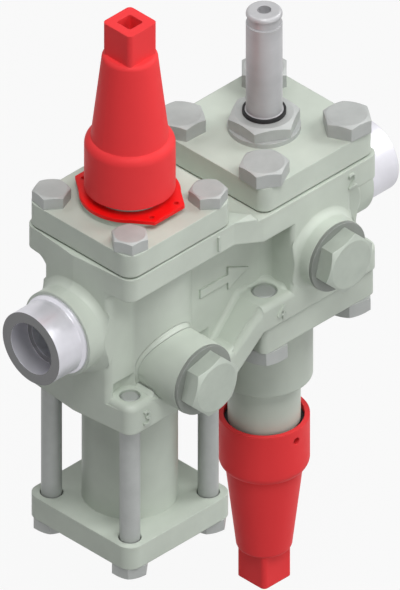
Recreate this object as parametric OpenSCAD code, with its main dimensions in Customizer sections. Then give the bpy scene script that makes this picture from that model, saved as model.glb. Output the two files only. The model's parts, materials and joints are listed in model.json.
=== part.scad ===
// Refrigeration valve station: one cast body that carries a stop valve, a filter,
// a solenoid valve and a hand regulating valve between two socket-weld connections.
// Millimetres. The origin is the centre of the inlet's mouth, +X runs along the flow,
// +Z is up. Module A is the first one along the flow, module B the second.

/* [Layout] */
// Distance from the inlet's mouth to the axis of module A
inlet_reach = 53; // [46:0.5:60]
// Distance between the axes of the two modules
module_pitch = 72; // [68:0.5:84]
// Distance from the axis of module B to the outlet's mouth
outlet_reach = 57; // [50:0.5:64]

/* [Connections] */
// Outer diameter of a connection
stub_d = 30.4; // [28:0.2:32]
// Diameter of the socket that takes the pipe
socket_d = 21.6; // [17.4:0.1:23]
// Depth of the socket
socket_depth = 9; // [6:0.5:10]
// Diameter of the bore behind the socket
passage_d = 17; // [13:0.5:18]
// Diameter of the slanting galleries between the chambers
gallery_d = 13; // [9:0.5:13.5]
// Length of a connection's spigot inside the body
stub_spigot_l = 5; // [3:0.5:6]
// Wall of that spigot
stub_spigot_wall = 3; // [2:0.1:4]
// Height and width of the collar at a connection's foot
stub_collar = 1; // [0.5:0.1:1.5]
// Depth of the outlet passage's bend behind the end wall
outlet_bend = 3; // [0:0.5:5]

/* [Body] */
// Half width of the square flanges of module A
flange_a_half = 28.3; // [27:0.1:30]
// Half width of the square flanges of module B
flange_b_half = 31; // [30:0.1:33]
// Corner radius of the flanges
flange_corner_r = 4.5; // [2:0.1:6]
// Height of the parting crease on the end walls
crease_h = 2.2; // [0.5:0.1:3]
// Height of the upper flange face of module A above the flow axis
top_a_z = 32; // [30:0.5:36]
// Height of the upper flange face of module B above the flow axis
top_b_z = 28.9; // [27:0.1:30]
// Thickness of the upper flange of module A
flange_t = 10; // [8:0.5:12]
// Thickness of the upper flange of module B
flange_b_t = 10.6; // [8:0.1:12]
// Depth of the lower flange face of module A below the flow axis
bottom_a_z = 39.6; // [38:0.2:44]
// Thickness of the lower flange of module A
lug_t = 12.5; // [10:0.5:14]
// Depth of the lower flange face of module B below the flow axis
bottom_b_z = 24; // [23:0.5:28]
// Thickness of the lower flange of module B
flange_b_low_t = 11; // [9:0.5:12]
// Rounding of the cast edges of the lower flanges
cast_edge_r = 2.6; // [1:0.1:3.5]
// Radius of the round neck between the flanges
neck_r = 23.4; // [21:0.2:25]
// Radius of the cove between the neck and the flange above it
cove_r = 4; // [2:0.5:4.5]
// Half width of the end ribs that carry the connections
end_rib_half = 17.5; // [17.5:0.5:20]
// Rounding of the upright edges of the end ribs
end_rib_r = 2.9; // [1:0.1:4]
// Half width of the side rib of module B
side_rib_half = 15.7; // [14:0.1:16]
// Rounding of the upright edges of the side rib
side_rib_r = 1.8; // [0.5:0.1:3]
// Half thickness of the web between the modules
web_half = 16.5; // [14:0.5:18]
// Fillet between the web and the side rib
web_fillet_r = 3.8; // [2:0.1:5]
// Fillet between a neck and the flat wall that runs into it
neck_fillet_r = 3; // [1:0.5:4]
// Radius of the milled recess round module B
recess_r = 45.5; // [45:0.5:47]
// Radius of the bosses that carry the connections
end_boss_r = 17.4; // [16.4:0.2:17.4]
// Length of those bosses in front of the end walls
end_boss_l = 8.3; // [5:0.1:10]
// Fillet at the foot of those bosses
end_boss_fillet = 4; // [1:0.5:5]
// Radius of the bosses on the side ports
side_boss_r = 14.7; // [13:0.1:16]
// Distance from the module axes to the faces of the side bosses
side_boss_y = 38.3; // [37:0.1:42]
// Depth of the side port of module A below the flow axis
side_port_a_z = 21.2; // [19:0.2:22]
// Fillet at the foot of the side boss of module B
side_boss_fillet = 3.5; // [1:0.5:5]
// Fillet between the side boss of module A and the lug's face
lug_boss_fillet = 3; // [1:0.5:4]
// Height of the spot faces round the bolts' ends on the lug
lug_spot_h = 6; // [3:0.5:8]
// Height of the spot faces under the upper flange of module A
flange_spot_h = 1.2; // [1:0.1:3]

/* [Chambers] */
// Radius of the chambers above the seats and below module B
chamber_r = 16; // [14.5:0.1:17]
// Radius of the filter chamber
filter_chamber_r = 17; // [16:0.1:18]
// Height of the floor of the stop valve's chamber
chamber_a_floor = 2; // [1:0.5:3]
// Height of the floor of the solenoid valve's chamber
chamber_b_floor = 4; // [3:0.5:5]
// Depth of the ceiling of the filter chamber below the flow axis
filter_ceiling = 14; // [12:0.5:15]
// Depth of the ceiling of the regulating chamber below the flow axis
regulator_ceiling = 9; // [8.5:0.5:10]
// Outer radius of the seat rings
seat_ring_r = 10.4; // [9.8:0.1:11]
// Radius of the bore of the stop valve's seat
stop_seat_bore_r = 7.5; // [6:0.1:8]
// Radius of the bore of the solenoid valve's seat
main_seat_bore_r = 7; // [5.5:0.1:7.5]
// Radius of the bore of the regulating seat
regulator_seat_bore_r = 6; // [4.5:0.1:6.5]
// Height of the seat rings of the stop valve and the solenoid valve
seat_ring_h = 6; // [5:0.5:6]
// Height of the regulating seat's ring
regulator_seat_h = 7; // [5:0.5:7]
// Height of those two closing planes above their chambers' floors
seat_lift = 4; // [3:0.5:4]
// Height of the regulating seat's closing plane below its chamber's ceiling
regulator_seat_lift = 3; // [2:0.5:4]
// Width and height of the raised lip of a seat
seat_lip = 1; // [0.5:0.1:1.5]

/* [Covers] */
// Half width of the cover of the stop valve and of the filter's end plate
cover_a_half = 28; // [27:0.1:29]
// Corner radius of those two plates
cover_a_corner_r = 5.6; // [3:0.1:7]
// Thickness of the cover of the stop valve
stop_cover_t = 9.9; // [8:0.1:12]
// Half width of the cover of the solenoid valve and of the regulating valve's bonnet
cover_b_half = 30; // [29:0.1:30.5]
// Corner radius of the solenoid valve's cover
solenoid_cover_corner_r = 4.7; // [3:0.1:6]
// Thickness of the solenoid valve's cover
solenoid_cover_t = 10.6; // [9:0.1:12]
// Corner radius of the regulating valve's bonnet
bonnet_corner_r = 2.8; // [2:0.1:5]
// Thickness of the plate of the regulating valve's bonnet
bonnet_t = 11.1; // [9:0.1:12]
// Thickness of the gaskets under the covers
gasket_t = 0.8; // [0.5:0.1:1.5]
// Depth that the covers' spigots reach into the body
spigot_l = 6; // [4:0.5:8]

/* [Bolts] */
// Distance from a module axis to the bolt rows of module A
bolt_a_offset = 21; // [20.5:0.1:22]
// Thread diameter of the bolts of module A
bolt_a_d = 8; // [6:0.5:8]
// Width across flats of the bolts of module A
bolt_a_af = 13; // [10:0.5:13]
// Head height of the bolts of module A
bolt_a_head = 5.3; // [4:0.1:6]
// Distance from a module axis to the bolt rows of module B
bolt_b_offset = 22.25; // [21.5:0.05:23]
// Thread diameter of the bolts of module B
bolt_b_d = 10; // [8:0.5:10]
// Width across flats of the bolts of module B
bolt_b_af = 17; // [13:0.5:17]
// Head height of the bolts of module B
bolt_b_head = 6.4; // [5:0.1:7]
// Depth of a bolt's end below the far face of its flange
bolt_recess = 0.3; // [0.1:0.1:2]
// How much wider the holes in the covers are than their bolts
bolt_play = 0.8; // [0.4:0.1:1]

/* [Stems and caps] */
// Height of the wide foot of the stop valve's stem above its cover
stop_foot_l = 2.7; // [2:0.1:4]
// Radius of the wide part of the stems
stem_foot_r = 18.6; // [17.6:0.1:20]
// Length of the wide neck of the bonnet
bonnet_neck_l = 36.1; // [30:0.1:40]
// Radius of the narrow part of the stems
stem_r = 13.9; // [13.6:0.1:14.6]
// Radius of the stem's thread that holds the cap
stem_thread_r = 13; // [12:0.1:13.2]
// Length of that thread
stem_thread_l = 11.5; // [9:0.5:13]
// Gap between the stop valve's cover and the rim of its cap
stop_cap_gap = 7.3; // [6.8:0.1:9]
// Gap between the bonnet's wide neck and the rim of its cap
bonnet_cap_gap = 19.9; // [12:0.1:22]
// Outer radius of a cap at its rim
cap_r = 17.4; // [17:0.1:19]
// Length of a cap's cylinder, up to the centre of its shoulder
cap_cylinder_l = 19.4; // [18:0.1:22]
// Radius of the cap's rounded shoulder
cap_shoulder_r = 4; // [2:0.1:4.5]
// Radius at the foot of the cap's cone
cap_cone_r = 14.9; // [14.5:0.1:16]
// Radius at the top of the cap's cone
cap_top_r = 10.8; // [10.7:0.1:12]
// Length of the cap up to the top of its cone
cap_cone_end = 59.1; // [56:0.1:64]
// Width across flats of the cap's square head
cap_square = 15; // [13:0.1:15.4]
// Whole length of a cap
cap_l = 75.2; // [72:0.1:80]
// Corner radius of that square
cap_square_r = 1.9; // [0.5:0.1:2.5]
// Width of the square hole in a cap's head
cap_key_w = 7.2; // [5:0.1:8]
// Corner radius of that hole
cap_key_r = 0.8; // [0.3:0.1:1.5]
// Depth of that hole
cap_key_depth = 10; // [6:0.5:12]
// Depth of the counterbore at a cap's rim
cap_mouth_depth = 3.6; // [2.5:0.1:5]
// Wall of a cap beside that counterbore
cap_rim_wall = 2; // [1.5:0.1:2.4]
// Radius of a cap's hollow above its thread
cap_hollow_r = 11.6; // [10:0.1:12]
// Wall of a cap at the top of its cone
cap_wall = 2.8; // [2:0.1:4]
// Thickness of a cap's roof over the hollow
cap_roof = 5; // [3:0.5:7]
// Length of a cap's thread above the stem's end
cap_thread_spare = 2.4; // [1:0.1:4]
// Rounding of the upper edge of a cap's cone
cap_edge_r = 2; // [1:0.1:3]
// Thickness of the seal in a cap
cap_seal_t = 1.5; // [1:0.1:2]
// Diameter of the hole for a seal wire through a cap's rim
seal_hole_d = 3; // [1.5:0.1:3]
// Height of that hole above the rim
seal_hole_z = 4.8; // [4:0.1:8]

/* [Spindles] */
// Radius of a spindle's thread
spindle_thread_r = 5; // [4.5:0.1:5.5]
// Radius of a spindle where it passes its packing
spindle_r = 4; // [3:0.1:4.2]
// Width of the square at a spindle's end
spindle_square = 5.5; // [4:0.1:5.5]
// Length of that square
spindle_square_l = 12; // [8:0.5:14]
// Travel of a spindle from closed to open
spindle_travel = 8; // [4:0.5:8]
// Height of a spindle's packing
packing_h = 8; // [5:0.5:8]
// Radius of a packing
packing_r = 8; // [6.5:0.1:9]
// Width across flats of a gland nut
gland_af = 17; // [15:0.5:19]
// Height of a gland nut's head
gland_head = 5; // [3:0.5:6]
// Length of a gland nut's thread
gland_thread_l = 4; // [3:0.5:5]
// Radius of the stop valve's disc
stop_disc_r = 9.9; // [9.6:0.1:10.5]
// Thickness of the stop valve's disc
stop_disc_t = 7; // [5:0.5:8]
// Thickness of the soft seal in that disc
disc_seal_t = 1.5; // [1:0.1:2.5]
// Radius of the hubs that hold the spindles
hub_r = 6.5; // [5.5:0.1:7]
// Length of those hubs
hub_l = 8; // [6:0.5:9]
// Length of the regulating cone inside its seat
cone_tip_l = 6; // [4:0.5:6.5]
// Thickness of the regulating cone's collar
cone_collar_t = 5; // [3:0.5:6]
// Radius of that collar, which enters the bonnet when the valve is open
cone_collar_r = 8; // [7.4:0.1:8.2]

/* [Filter] */
// Radius of the filter housing's tube
filter_tube_r = 18.3; // [17.5:0.1:19]
// Inner radius of that tube
filter_bore_r = 14.6; // [14:0.1:15.5]
// Length of that tube between the body and the end plate
filter_tube_l = 53.2; // [45:0.2:60]
// Thickness of the filter's end plate
filter_plate_t = 10; // [8:0.5:12]
// Outer radius of the strainer
strainer_r = 12.4; // [10:0.1:12.6]
// Wall of the strainer
strainer_wall = 0.8; // [0.5:0.1:1.5]
// Height of the ring that closes the strainer's upper end
strainer_ring_h = 3; // [2:0.5:5]
// Height of the strainer's closed bands
strainer_band = 4; // [2:0.5:6]
// Number of window columns round the strainer
strainer_columns = 10; // [6:1:14]
// Number of window rows along the strainer
strainer_rows = 4; // [2:1:6]

/* [Solenoid valve] */
// Radius of the armature tube
tube_r = 7; // [6.5:0.05:7.5]
// Bore radius of the armature tube
tube_bore_r = 5.65; // [5:0.05:5.8]
// Height of the armature tube above its cover
tube_h = 54.7; // [48:0.1:60]
// Height of the ring under the nut
tube_ring_h = 2; // [1:0.1:3]
// Radius of that ring
tube_ring_r = 14; // [13:0.1:16]
// Radius of the tube where it passes its nut
tube_shoulder_r = 7.4; // [7.2:0.1:7.8]
// Radius of the tube's foot inside the cover
tube_foot_r = 7.9; // [7.8:0.1:9]
// Rounding of the tube's tip
tube_tip_r = 1.6; // [0.5:0.1:2]
// Radius of the hole in the tube's tip
tip_hole_r = 2.7; // [1:0.1:3]
// Depth of the hole in the tube's tip
tip_hole_depth = 4; // [2:0.5:5]
// Distance from the tube's tip to the lower side of its clip groove
clip_groove_drop = 5.8; // [5:0.1:8]
// Width of the clip groove
clip_groove_w = 3.8; // [1:0.1:4]
// Depth of the clip groove
clip_groove_depth = 0.7; // [0.3:0.1:1]
// Width across flats of the tube's nut
tube_nut_af = 24.5; // [22:0.1:26]
// Height of the tube's nut
tube_nut_h = 5.4; // [4:0.1:7]
// Radius of the collar on the nut
tube_collar_r = 8.4; // [8:0.1:9.5]
// Height of that collar
collar_t = 1.5; // [1:0.1:3]
// Travel of the armature
armature_travel = 2.5; // [1:0.1:3]
// Length of the armature
armature_l = 31; // [26:0.5:34]
// Radius of the main piston
piston_r = 12; // [11.5:0.05:12.2]
// Height of the main piston above its seat
piston_h = 20; // [16:0.5:21]
// Travel of the main piston
piston_travel = 5; // [3:0.5:5]
// Radius of the bore that leads to the armature's seat
pilot_bore_r = 1.2; // [0.8:0.1:1.6]

/* [Side plugs] */
// Width across flats of a side plug
plug_af = 22; // [19:0.5:24]
// Height of a side plug's head
plug_head = 7; // [5:0.1:8]
// Radius of the ring under a side plug
plug_ring_r = 14.4; // [13.5:0.1:15]
// Thickness of that ring
plug_ring_t = 1.5; // [1:0.1:2]
// Thread radius of a side plug
plug_thread_r = 7; // [6:0.1:8]
// Length of a side plug's thread
plug_thread_l = 10; // [8:0.5:12]

/* [Tag plate] */
// Radius of the tag plate
tag_r = 19.4; // [19:0.1:20]
// Half width of the tag plate's tab
tag_tab_half = 8; // [7.8:0.1:8.5]
// Distance from the axis to the end of the tab
tag_tab_y = 21.4; // [21:0.1:23]
// Thickness of the tag plate
tag_t = 1.5; // [1:0.1:2]
// Diameter of the holes in the tab
tag_hole_d = 2; // [1:0.1:2.5]
// Distance of the tab's holes from its middle line
tag_hole_x = 6.6; // [4:0.1:6.6]
// Distance of the tab's holes from the axis, along the tab
tag_hole_y = 18.2; // [17:0.1:19]

/* [Hidden] */
$fn = 64;
run = 0.05; // radial clearance of a running or threaded fit
lay = 0.1; // clearance between pieces that stay put
eps = 1; // overshoot of a cut
merge = 0.03; // how far an upright fillet's arc crosses the walls that it joins
foot_merge = 0.12; // same for the fillets round the bosses

casting = [0.74, 0.77, 0.73];
machined = [0.74, 0.73, 0.76];
zinc = [0.68, 0.69, 0.70];
cap_red = [0.86, 0.18, 0.18];
tag_red = [0.95, 0.05, 0.05];
soft_grey = [0.25, 0.26, 0.26];
brass = [0.72, 0.60, 0.34];

// Axes and end faces
axis_a_x = inlet_reach;
axis_b_x = inlet_reach + module_pitch;
outlet_x = axis_b_x + outlet_reach;
inlet_boss_x = axis_a_x - flange_a_half - crease_h - end_boss_l;
outlet_boss_x = axis_b_x + flange_b_half + crease_h + end_boss_l;
facet_a_x = axis_a_x + flange_a_half - 0.6; // where the flange of A starts to widen to B
facet_b_x = axis_b_x - flange_b_half - 0.3; // where it has B's width
lug_top_z = lug_t - bottom_a_z;
low_b_top_z = flange_b_low_t - bottom_b_z;

// Seats, measured outward from the flow axis along each module's own direction
stop_seat_z = chamber_a_floor + seat_lift; // closing plane of the stop valve
main_seat_z = chamber_b_floor + seat_lift; // closing plane of the solenoid valve
regulator_seat_u = regulator_ceiling + regulator_seat_lift; // closing plane of the regulating valve

// Covers and stems, outward from the flow axis
stop_cover_u = top_a_z + gasket_t;
stop_face_u = stop_cover_u + stop_cover_t;
stop_rim_u = stop_face_u + stop_cap_gap;
bonnet_u = bottom_b_z + gasket_t;
bonnet_face_u = bonnet_u + bonnet_t;
bonnet_rim_u = bonnet_face_u + bonnet_neck_l + bonnet_cap_gap;
solenoid_cover_z = top_b_z + gasket_t;
solenoid_face_z = solenoid_cover_z + solenoid_cover_t;
filter_plate_z = bottom_a_z + filter_tube_l;
hub_gap = 2; // room round a hub inside its cover
stop_hub_u = stop_seat_z + stop_disc_t + hub_l; // top of the stop disc's hub when closed

// Solenoid valve
sleeve_bottom_z = main_seat_z + 6;
piston_floor = 5; // thickness of the piston's crown
sleeve_roof_z = main_seat_z + piston_h + piston_travel + 0.3;
pilot_z = sleeve_roof_z + 2; // seat of the armature
armature_hollow = 12; // depth of the armature's bore for its spring
ring_z = solenoid_face_z;
nut_z = ring_z + tube_ring_h;
collar_z = nut_z + tube_nut_h;
tube_top_z = solenoid_face_z + tube_h;
armature_top_z = pilot_z + armature_l;
core_z = armature_top_z + armature_travel + 0.3; // underside of the tube's solid end

function neck_top(rim_u) = rim_u + cap_mouth_depth - cap_seal_t; // seat of the cap's seal
function stem_top(rim_u) = neck_top(rim_u) + stem_thread_l;
function box_floor(rim_u) = stem_top(rim_u) - packing_h - gland_thread_l; // floor of the packing box
function corners(offset) = [[-offset, -offset], [offset, -offset], [offset, offset], [-offset, offset]];
function apothem_r(af) = af / 2 / cos(30);
function end_wall_x(half, y) = half + crease_h * (1 - y / (half - flange_corner_r)); // creased wall at y

// Shapes that repeat

// Square outline with round corners
module plate_outline(half, corner_r) {
  square([2 * half, 2 * (half - corner_r)], center = true);
  square([2 * (half - corner_r), 2 * half], center = true);
  for (c = corners(half - corner_r)) translate(c) circle(r = corner_r);
}

// Ring with a bore
module ring(outer_r, inner_r, height) {
  difference() {
    cylinder(r = outer_r, h = height);
    translate([0, 0, -eps]) cylinder(r = inner_r, h = height + 2 * eps);
  }
}

// Hexagon head with a chamfered outer face, pointing up
module hex_head(af, height) {
  chamfer = 0.08 * af;
  face_r = 0.46 * af;
  intersection() {
    cylinder(r = apothem_r(af), h = height, $fn = 6);
    union() {
      cylinder(r = apothem_r(af) + eps, h = height - chamfer);
      translate([0, 0, height - chamfer])
        cylinder(r1 = face_r + chamfer / tan(25), r2 = face_r, h = chamfer);
    }
  }
}

// Bolt whose head sits on z = 0 and whose shank reaches down
module hex_bolt(d, af, head, length, turn) {
  rotate(turn) hex_head(af, head);
  translate([0, 0, -length + 1]) cylinder(d = d, h = length - 1 + 0.01);
  translate([0, 0, -length]) cylinder(d1 = d - 2, d2 = d, h = 1);
}

// Round hole between two points of the plane Y = 0
module gallery(from, to, r) {
  run_x = to[0] - from[0];
  run_z = to[1] - from[1];
  translate([from[0], 0, from[1]]) rotate([0, atan2(run_x, run_z), 0])
    cylinder(r = r, h = norm([run_x, run_z]));
}

// Section of a plate from its middle out to an edge that is rounded on top
module soft_section(reach, height, edge) {
  square([reach, height - edge]);
  square([reach - edge, height]);
  translate([reach - edge, height - edge]) circle(r = edge);
}

// Square end of a lower flange with soft upper edges and its parting crease. It stands
// on z = 0 round the origin, ends at x = half and stays open at x = -inner.
module soft_flange(half, inner, height) {
  side = half - flange_corner_r;
  for (s = [0, 1]) mirror([0, s, 0]) {
    translate([side, 0, 0]) rotate([90, 0, -90]) mirror([1, 0, 0]) linear_extrude(side + inner)
      mirror([1, 0, 0]) soft_section(half, height, cast_edge_r);
    translate([0, side, 0]) rotate([90, 0, 0]) linear_extrude(side) soft_section(half, height, cast_edge_r);
    translate([side, side, 0]) rotate_extrude() intersection() {
      soft_section(flange_corner_r, height, cast_edge_r);
      square([flange_corner_r, height]);
    }
  }
  linear_extrude(height - cast_edge_r) polygon([[0, side], [half, side], [half + crease_h, 0], [half, -side], [0, -side]]);
}

// Fillet round the foot of a boss. z = 0 is the wall, and the root tapers in below it.
module boss_foot(boss_r, fillet_r, root) {
  foot_r = boss_r + fillet_r;
  rotate_extrude() difference() {
    polygon([[0, -root], [foot_r - root, -root], [foot_r, 0], [foot_r, fillet_r], [0, fillet_r]]);
    translate([foot_r, fillet_r]) circle(r = fillet_r + foot_merge);
  }
}

// Boss on a creased end wall; z = 0 is the crease, and each half of its foot follows its side of the wall
module end_boss(half) {
  root = end_rib_r + 1;
  tilt = atan(crease_h / (half - flange_corner_r));
  translate([0, 0, -crease_h - root]) cylinder(r = end_boss_r, h = end_boss_l + crease_h + root);
  for (s = [0, 1]) mirror([0, s, 0]) intersection() {
    translate([0, -end_boss_fillet * sin(tilt), 0]) rotate([-tilt, 0, 0])
      boss_foot(end_boss_r, end_boss_fillet, root);
    translate([-half, 0, -half]) cube([2 * half, end_rib_half, 2 * half]);
  }
}

// Section of the cove under a flange: x = 0 is the wall and y = cove_r the flange
module cove_section() {
  difference() {
    translate([-1, 0]) square([cove_r + 1, cove_r + 0.01]);
    translate([cove_r, 0]) circle(r = cove_r + merge);
  }
}

// Plan of the fillet between a neck and the flat wall y = wall_y that runs out of it towards +X
module neck_corner(wall_y) {
  centre_y = wall_y + neck_fillet_r;
  centre_x = sqrt(pow(neck_r + neck_fillet_r, 2) - pow(centre_y, 2));
  foot = neck_r / (neck_r + neck_fillet_r) * [centre_x, centre_y];
  difference() {
    polygon([[centre_x, wall_y - 1], [centre_x, wall_y], foot, [foot[0] - 1, wall_y - 1]]);
    translate([centre_x, centre_y]) circle(r = neck_fillet_r + merge);
  }
}

// Hollow screw cap: z = 0 is its rim
module screw_cap() {
  thread_top = stem_top(0) + cap_thread_spare;
  hollow_top = cap_cone_end - cap_roof;
  difference() {
    union() {
      rotate_extrude() {
        square([cap_r, cap_cylinder_l]);
        square([cap_r - cap_shoulder_r, cap_cylinder_l + cap_shoulder_r]);
        translate([cap_r - cap_shoulder_r, cap_cylinder_l]) circle(r = cap_shoulder_r);
        polygon([
          [0, cap_cylinder_l], [cap_cone_r, cap_cylinder_l],
          [cap_cone_r, cap_cylinder_l + cap_shoulder_r - 0.2],
          [cap_top_r, cap_cone_end], [0, cap_cone_end]
        ]);
        square([cap_top_r - cap_edge_r, cap_cone_end + cap_edge_r]);
        translate([cap_top_r - cap_edge_r, cap_cone_end]) circle(r = cap_edge_r);
      }
      linear_extrude(cap_l) plate_outline(cap_square / 2, cap_square_r);
    }
    translate([0, 0, -eps]) cylinder(r = cap_r - cap_rim_wall, h = cap_mouth_depth + eps);
    cylinder(r = stem_thread_r + run, h = thread_top);
    translate([0, 0, thread_top - 0.01])
      cylinder(r1 = cap_hollow_r, r2 = cap_top_r - cap_wall, h = hollow_top - thread_top);
    translate([0, 0, cap_l - cap_key_depth])
      linear_extrude(cap_key_depth + eps) plate_outline(cap_key_w / 2, cap_key_r);
    translate([0, -stem_thread_r + eps, seal_hole_z]) rotate([90, 0, 0])
      cylinder(d = seal_hole_d, h = cap_r - stem_thread_r + 2 * eps, $fn = 24);
  }
}

// Stem with its packing box; z is outward and z = 0 is the flow axis
module stem(face_u, foot_l, rim_u) {
  translate([0, 0, face_u]) cylinder(r = stem_foot_r, h = foot_l);
  translate([0, 0, face_u + foot_l]) cylinder(r = stem_r, h = neck_top(rim_u) - face_u - foot_l);
  translate([0, 0, neck_top(rim_u)]) cylinder(r = stem_thread_r, h = stem_thread_l - 1);
  translate([0, 0, stem_top(rim_u) - 1])
    cylinder(r1 = stem_thread_r, r2 = stem_thread_r - 1, h = 1);
}

// Everything that is cut out of a stem for the spindle
module spindle_way(spigot_u, recess_top_u, rim_u) {
  translate([0, 0, spigot_u - eps]) cylinder(r = hub_r + hub_gap, h = recess_top_u - spigot_u + eps);
  translate([0, 0, spigot_u]) cylinder(r = spindle_thread_r + run, h = box_floor(rim_u) - spigot_u + 0.01);
  translate([0, 0, box_floor(rim_u)]) cylinder(r = packing_r, h = stem_top(rim_u) - box_floor(rim_u) + eps);
}

// Spindle from its journal at u = foot_u to its square end
module spindle(foot_u, rim_u) {
  thread_top = box_floor(rim_u) - spindle_travel - 0.5;
  shank_top = stem_top(rim_u) + gland_head + spindle_travel / 2;
  translate([0, 0, foot_u]) cylinder(r = spindle_r, h = shank_top - foot_u);
  translate([0, 0, foot_u + hub_l + 1]) cylinder(r = spindle_thread_r, h = thread_top - foot_u - hub_l - 1);
  translate([0, 0, shank_top - 0.01]) linear_extrude(spindle_square_l)
    square(spindle_square, center = true);
}

module packing(rim_u) {
  translate([0, 0, box_floor(rim_u)]) ring(packing_r - run, spindle_r + run, packing_h);
}

module gland_nut(rim_u) {
  difference() {
    union() {
      translate([0, 0, box_floor(rim_u) + packing_h])
        cylinder(r = packing_r - run, h = stem_top(rim_u) - box_floor(rim_u) - packing_h + 0.01);
      translate([0, 0, stem_top(rim_u)]) hex_head(gland_af, gland_head);
    }
    translate([0, 0, box_floor(rim_u)])
      cylinder(r = spindle_r + run, h = stem_top(rim_u) + gland_head + eps - box_floor(rim_u));
  }
}

module cap_seal(rim_u) {
  translate([0, 0, neck_top(rim_u)]) ring(cap_r - 2.2, stem_thread_r + 0.3, cap_seal_t);
}

// Helical compression spring between two heights
module coil_spring(bottom_z, top_z, coil_r, wire_r, turns) {
  steps = 16;
  sides = 8;
  rise = (top_z - bottom_z - 2 * wire_r) / (turns * steps);
  path = [for (i = [0:turns * steps])
    [coil_r * cos(i * 360 / steps), coil_r * sin(i * 360 / steps), bottom_z + wire_r + i * rise]];
  points = [for (i = [0:turns * steps], k = [0:sides - 1])
    let (out = wire_r * cos(k * 360 / sides), a = i * 360 / steps)
    path[i] + [out * cos(a), out * sin(a), wire_r * sin(k * 360 / sides)]];
  last = turns * steps * sides;
  walls = [for (i = [0:turns * steps - 1], k = [0:sides - 1])
    [i * sides + k, i * sides + (k + 1) % sides, (i + 1) * sides + (k + 1) % sides, (i + 1) * sides + k]];
  ends = [[for (k = [sides - 1:-1:0]) k], [for (k = [0:sides - 1]) last + k]];
  polyhedron(points, concat(walls, ends), convexity = 10);
}

// Valve body

// Plan of the flanges: A's square widens to B's through a short facet on each side
module flange_plan() {
  half_path = [
    [axis_a_x - flange_a_half - crease_h, 0],
    [axis_a_x - flange_a_half, flange_corner_r - flange_a_half],
    [axis_a_x - flange_a_half + flange_corner_r, -flange_a_half],
    [facet_a_x, -flange_a_half],
    [facet_b_x, -flange_b_half],
    [axis_b_x + flange_b_half - flange_corner_r, -flange_b_half],
    [axis_b_x + flange_b_half, flange_corner_r - flange_b_half],
    [axis_b_x + flange_b_half + crease_h, 0]
  ];
  polygon(concat(half_path, [for (i = [6:-1:1]) [half_path[i][0], -half_path[i][1]]]));
  for (s = [-1, 1]) {
    translate([axis_a_x - flange_a_half + flange_corner_r, s * (flange_a_half - flange_corner_r)])
      circle(r = flange_corner_r);
    translate([axis_b_x + flange_b_half - flange_corner_r, s * (flange_b_half - flange_corner_r)])
      circle(r = flange_corner_r);
  }
}

// Side view of the upper flange, extruded across the body
module upper_flange_side() {
  left = axis_a_x - flange_a_half - 10;
  right = axis_b_x + flange_b_half + 10;
  translate([0, 60, 0]) rotate([90, 0, 0]) linear_extrude(120) polygon([
    [left, top_a_z - flange_t], [facet_a_x, top_a_z - flange_t],
    [facet_b_x, top_b_z - flange_b_t], [right, top_b_z - flange_b_t],
    [right, top_a_z], [left, top_a_z]
  ]);
}

// End view of the upper flange: outside A's width its top falls away to B's level
module upper_flange_end() {
  shoulder = flange_a_half + run;
  slope = (top_a_z - top_b_z) / max(flange_b_half - shoulder, 0.5);
  rotate([90, 0, 90]) linear_extrude(outlet_x) polygon([
    [-flange_b_half - eps, 0], [flange_b_half + eps, 0],
    [flange_b_half + eps, top_b_z - slope * eps], [shoulder, top_a_z],
    [-shoulder, top_a_z], [-flange_b_half - eps, top_b_z - slope * eps]
  ]);
}

// Sloping stretch of the lower flange between the two levels, with soft upper edges
module lower_slope() {
  run_x = facet_b_x - facet_a_x;
  rise = low_b_top_z - lug_top_z;
  widen = flange_b_half - flange_a_half;
  difference() {
    intersection() {
      linear_extrude(200, center = true) flange_plan();
      translate([0, 60, 0]) rotate([90, 0, 0]) linear_extrude(120) polygon([
        [facet_a_x - 1, -bottom_a_z], [facet_a_x, -bottom_a_z], [facet_b_x, -bottom_b_z],
        [facet_b_x, low_b_top_z], [facet_a_x, lug_top_z], [facet_a_x - 1, lug_top_z]
      ]);
    }
    for (s = [0, 1]) mirror([0, s, 0]) translate([facet_a_x, -flange_a_half, lug_top_z])
      rotate([0, -atan2(rise, norm([run_x, widen])), -atan2(widen, run_x)])
      translate([-5, 0, 0]) rotate([90, 0, 90]) linear_extrude(40) difference() {
        translate([-eps, -cast_edge_r]) square(cast_edge_r + eps);
        translate([cast_edge_r, -cast_edge_r]) circle(r = cast_edge_r);
      }
  }
}

// Lower flange: A's lug, the slope and B's flange
module lower_flange() {
  translate([axis_a_x, 0, -bottom_a_z]) mirror([1, 0, 0])
    soft_flange(flange_a_half, facet_a_x - axis_a_x, lug_t);
  translate([axis_b_x, 0, -bottom_b_z]) soft_flange(flange_b_half, axis_b_x - facet_b_x, flange_b_low_t);
  lower_slope();
}

// Side view of the web, which follows the lower flange
module web() {
  translate([0, web_half, 0]) rotate([90, 0, 0]) linear_extrude(2 * web_half) polygon([
    [axis_a_x, lug_top_z - 1], [facet_a_x, lug_top_z - 1], [facet_b_x, low_b_top_z - 1],
    [axis_b_x, low_b_top_z - 1], [axis_b_x, top_b_z - 1], [axis_a_x, top_b_z - 1]
  ]);
}

// Plan of an end rib that grows towards +X and ends in the creased wall
module end_rib_plan(half) {
  edge_y = end_rib_half - end_rib_r;
  edge_x = end_wall_x(half, edge_y);
  polygon([
    [0, end_rib_half], [edge_x - end_rib_r, end_rib_half], [edge_x, edge_y], [half + crease_h, 0],
    [edge_x, -edge_y], [edge_x - end_rib_r, -end_rib_half], [0, -end_rib_half]
  ]);
  for (s = [-1, 1]) translate([edge_x - end_rib_r, s * edge_y]) circle(r = end_rib_r);
}

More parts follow.
